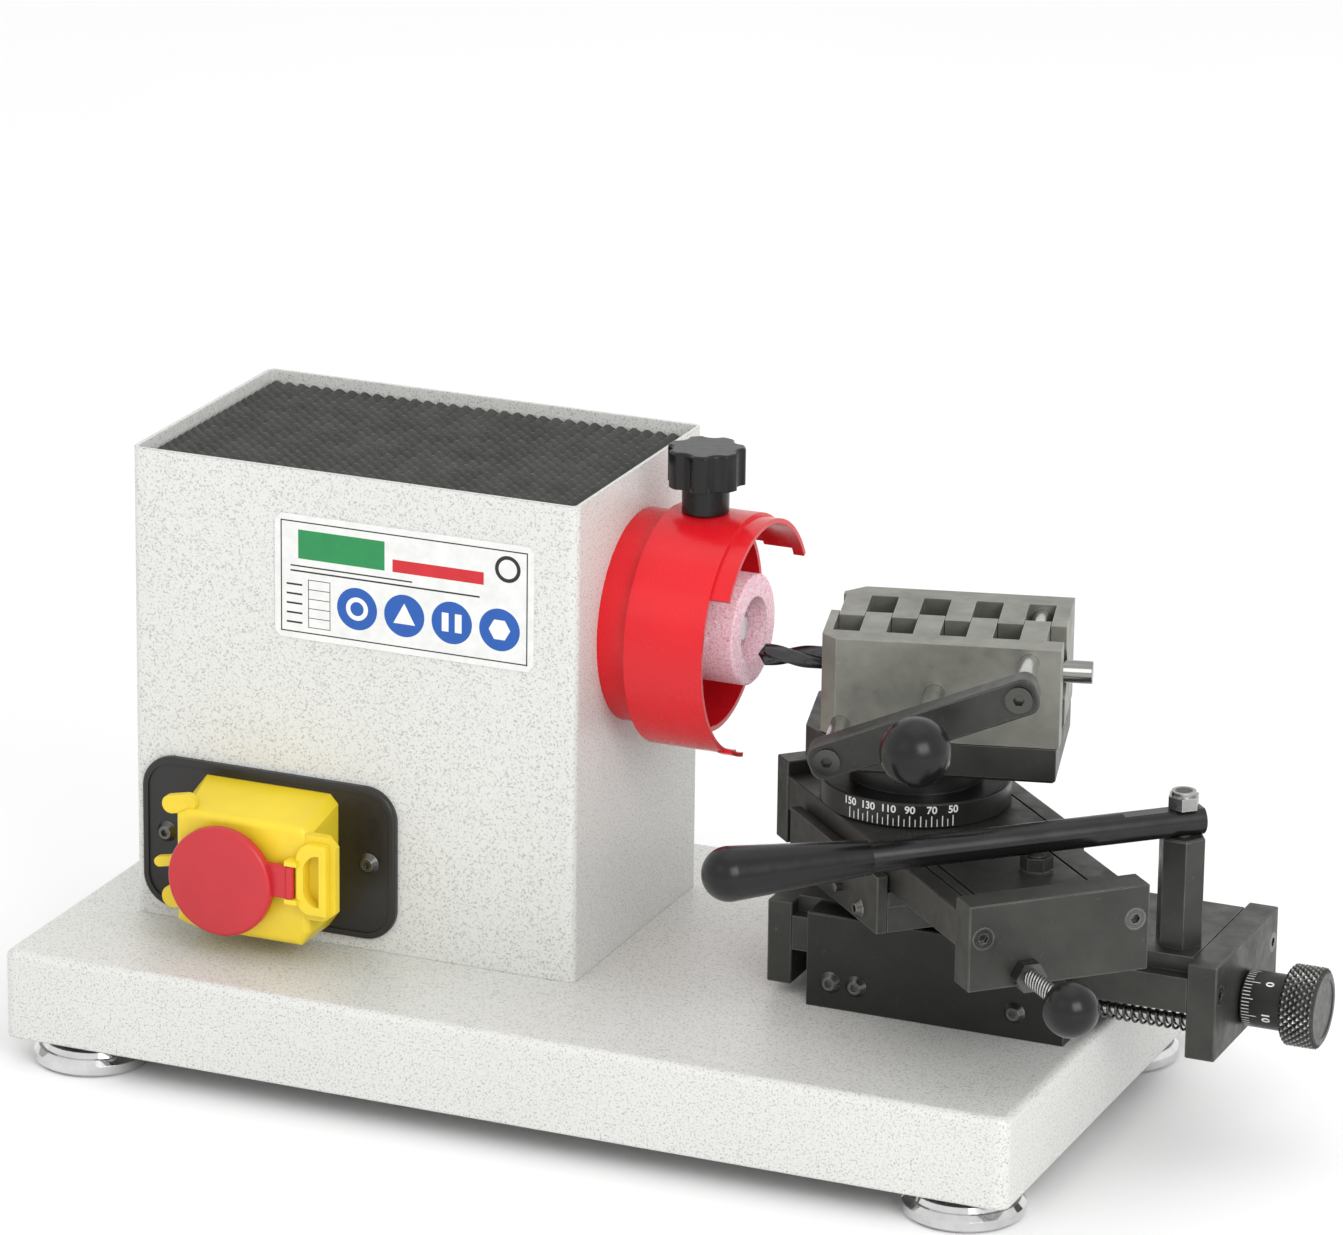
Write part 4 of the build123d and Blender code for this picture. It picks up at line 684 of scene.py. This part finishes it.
# ---------------------------------------------------------------- knurled feed knob
def knurled_knob():
    """Feed knob with a diamond knurl between plain ends, as one turned surface."""
    lo, hi = low("feed_knob"), high("feed_knob")
    axis = (lo + hi) / 2
    radius = (hi.z - lo.z) / 2
    length = hi.x - lo.x
    columns, rows, teeth = 320, 40, 32
    depth, margin = 1.3 * MM, 1.3 * MM
    groove = 0.999 * depth
    pitch = TURN * radius / teeth
    verts = []

    def add_ring(x, r_of):
        for c in range(columns):
            a = TURN * c / columns
            r = r_of(a)
            verts.append((lo.x + x, axis.y + r * math.cos(a), axis.z + r * math.sin(a)))

    def zigzag(value):
        return abs(2 * (value % 1.0) - 1)

    def knurl(a, x, drop):
        across = a * teeth / TURN
        return radius - groove * max(zigzag(across + x / pitch), zigzag(across - x / pitch)) - drop

    for r in (4.2 * MM, radius - margin - depth):
        add_ring(0.0, lambda a, r=r: r)
    for k in range(rows + 1):
        x = margin * 0.4 + (length - 2 * margin * 0.4) * k / rows
        drop = (1 - min(1.0, min(k, rows - k) / 2.5)) * 0.9 * MM
        add_ring(x, lambda a, x=x, drop=drop: knurl(a, x, drop))
    recess = length - 0.5 * MM
    for x, r in ((length, radius - margin - depth * 1.2), (length, 14.0 * MM), (recess, 13.4 * MM),
                 (recess, 6.0 * MM), (recess, 0.02 * MM)):
        add_ring(x, lambda a, r=r: r)
    faces = [tuple(reversed(f)) for f in tube_faces(len(verts) // columns, columns)]
    obj = mesh_object("knurled_knob", verts, faces, "feed_dial", KNURL)
    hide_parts("feed_knob")


# ---------------------------------------------------------------- return springs
WIRE_SIDES = 8
STEPS_PER_COIL = 20


def helix(start, end, axis_y, axis_z, radius, wire, turns):
    """Round wire wound about a line parallel to X."""
    count = int(turns * STEPS_PER_COIL)
    slope = (end - start) / (TURN * turns * radius)
    lean = math.hypot(1, slope)
    verts = []
    for k in range(count + 1):
        a = TURN * turns * k / count
        out = Vector((0, math.cos(a), math.sin(a)))
        along = Vector((slope, -math.sin(a), math.cos(a))) / lean
        side = along.cross(out)
        centre = Vector((start + (end - start) * k / count, axis_y, axis_z)) + out * radius
        for j in range(WIRE_SIDES):
            b = TURN * j / WIRE_SIDES
            verts.append(centre + (out * math.cos(b) + side * math.sin(b)) * wire)
    faces = tube_faces(count + 1, WIRE_SIDES)
    faces.append(tuple(reversed(range(WIRE_SIDES))))
    faces.append(tuple(count * WIRE_SIDES + j for j in range(WIRE_SIDES)))
    return verts, faces


def return_springs():
    """Two coil springs in the places of the plain tubes."""
    lo, hi = low("return_springs"), high("return_springs")
    wire = 0.65 * MM
    outer = (hi.z - lo.z) / 2
    turns = (hi.x - lo.x) / (3.93 * MM)
    coils = []
    for axis_y in (lo.y + outer, hi.y - outer):
        coils.append(helix(lo.x + wire, hi.x - wire, axis_y, lo.z + outer, outer - wire, wire, turns))
    obj = join_shapes("coil_springs", coils, "feed", SPRING)
    sharpen(obj, 60)
    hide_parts("return_springs")


# ---------------------------------------------------------------- twist drill
def twist_drill():
    """Drill with two helical flutes, a coned tip and a plain shank, as rings along the vise's X axis."""
    radius = (high("twist_drill").z - low("twist_drill").z) / 2
    axis_z = middle("twist_drill").z
    length = DRILL_END - DRILL_TIP
    lead, flute_end, cone_length = 70 * MM, 100 * MM, 3.2 * MM
    columns = 72
    stations = [0.0, 0.6 * MM, 1.4 * MM, 2.3 * MM, cone_length]
    while stations[-1] < flute_end:
        stations.append(stations[-1] + 1.2 * MM)
    stations += [flute_end + 6 * MM, length - 0.5 * MM, length]
    verts = []
    for s in stations:
        cone = min(1.0, 0.06 + 0.94 * s / cone_length)
        flute_depth = 0.62 * max(0.0, min(1.0, (flute_end - s) / (14 * MM)))
        chamfer = 0.92 if s > length - 0.4 * MM else 1.0
        for c in range(columns):
            a = TURN * c / columns
            half_turn = (a + math.pi / 2) % math.pi - math.pi / 2
            offset = abs(half_turn) / math.radians(52)
            flute = math.cos(min(1.0, offset) * math.pi / 2) ** 1.5
            relieved = 0.95 < offset < 1.45 and half_turn > 0 and s < flute_end
            r = radius * cone * chamfer * (1 - flute_depth * flute - (0.035 if relieved else 0.0))
            turn = a + TURN * min(s, flute_end) / lead
            across, upward = r * math.cos(turn), r * math.sin(turn)
            verts.append(VISE @ Vector((DRILL_TIP + s, across, axis_z - SWIVEL.z + upward)))
    count = len(stations)
    faces = [tuple(reversed(f)) for f in tube_faces(count, columns)]
    faces.append(tuple(range(columns)))
    faces.append(tuple((count - 1) * columns + c for c in reversed(range(columns))))
    obj = mesh_object("fluted_drill", verts, faces, "drill", DRILL)
    sharpen(obj, 40)
    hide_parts("twist_drill")


# ---------------------------------------------------------------- stage
LIGHT_TARGET = Vector((0, 0, 0.15))
CAMERA_PLACE = DATUM + Vector((1193.633, -2806.371, 1154.929)) * MM
CAMERA_AZIMUTH, CAMERA_ELEVATION, CAMERA_ROLL = (math.radians(v) for v in (23.7576, 17.7560, 0.4499))
CAMERA_LENS = 185.289
CAMERA_SHIFT = (0.08458, -0.03408)


def stage_floor():
    """Wide pale floor just under the feet."""
    half = 6.0
    floor_z = CAD_BOX[0].z - 0.0004
    corners = [(x, y, floor_z) for x, y in ((-half, -half), (half, -half), (half, half), (-half, half))]
    mesh = bpy.data.meshes.new("floor")
    mesh.from_pydata(corners, [], [(0, 1, 2, 3)])
    obj = bpy.data.objects.new("floor", mesh)
    bpy.context.scene.collection.objects.link(obj)
    s = Shader("floor_paper", (0.93, 0.93, 0.93), 0.9, spec=0.1)
    s.colour(s.ramp(s.noise(2, 2.0), [(0.3, (0.925, 0.925, 0.925)), (0.7, (0.94, 0.94, 0.94))]))
    mesh.materials.append(s.material)


def area_light(name, place, size, power):
    """Rectangular white light aimed at the middle of the machine."""
    light = bpy.data.lights.new(name, "AREA")
    light.shape = "RECTANGLE"
    light.size, light.size_y = size
    light.energy = power
    obj = bpy.data.objects.new(name, light)
    bpy.context.scene.collection.objects.link(obj)
    obj.location = place
    obj.rotation_mode = "QUATERNION"
    obj.rotation_quaternion = (LIGHT_TARGET - Vector(place)).to_track_quat("-Z", "Y")


def lights():
    """White room with three soft lights."""
    world = bpy.data.worlds.new("studio")
    world.use_nodes = True
    world.node_tree.nodes["Background"].inputs["Color"].default_value = (1.0, 1.0, 1.0, 1)
    world.node_tree.nodes["Background"].inputs["Strength"].default_value = 1.0
    bpy.context.scene.world = world
    area_light("key", (-0.9, -2.2, 1.7), (1.4, 1.2), 2)
    area_light("top", (0.1, 0.2, 2.4), (1.8, 1.8), 4)
    area_light("side", (1.7, -1.45, 1.35), (1.4, 1.2), 24)


def camera():
    """Long lens from the front and a little to the right, slightly above."""
    cam = bpy.data.cameras.new("camera")
    obj = bpy.data.objects.new("camera", cam)
    bpy.context.scene.collection.objects.link(obj)
    level = math.cos(CAMERA_ELEVATION)
    back = Vector((math.sin(CAMERA_AZIMUTH) * level, -math.cos(CAMERA_AZIMUTH) * level,
                   math.sin(CAMERA_ELEVATION)))
    right = Vector((math.cos(CAMERA_AZIMUTH), math.sin(CAMERA_AZIMUTH), 0))
    up = back.cross(right)
    tilted_right = right * math.cos(CAMERA_ROLL) + up * math.sin(CAMERA_ROLL)
    tilted_up = -right * math.sin(CAMERA_ROLL) + up * math.cos(CAMERA_ROLL)
    rotation = Matrix((tilted_right, tilted_up, back)).transposed()
    obj.matrix_world = Matrix.Translation(CAMERA_PLACE) @ rotation.to_4x4()
    cam.sensor_width = 36
    cam.lens = CAMERA_LENS
    cam.shift_x, cam.shift_y = CAMERA_SHIFT
    cam.clip_start, cam.clip_end = 0.1, 50
    bpy.context.scene.camera = obj


def main():
    dress_cad()
    rubber_mat()
    rating_plate()
    dial_marks()
    sleeve_marks()
    knurled_knob()
    return_springs()
    twist_drill()
    stage_floor()
    lights()
    camera()
    bpy.context.scene.view_settings.view_transform = "Standard"


main()
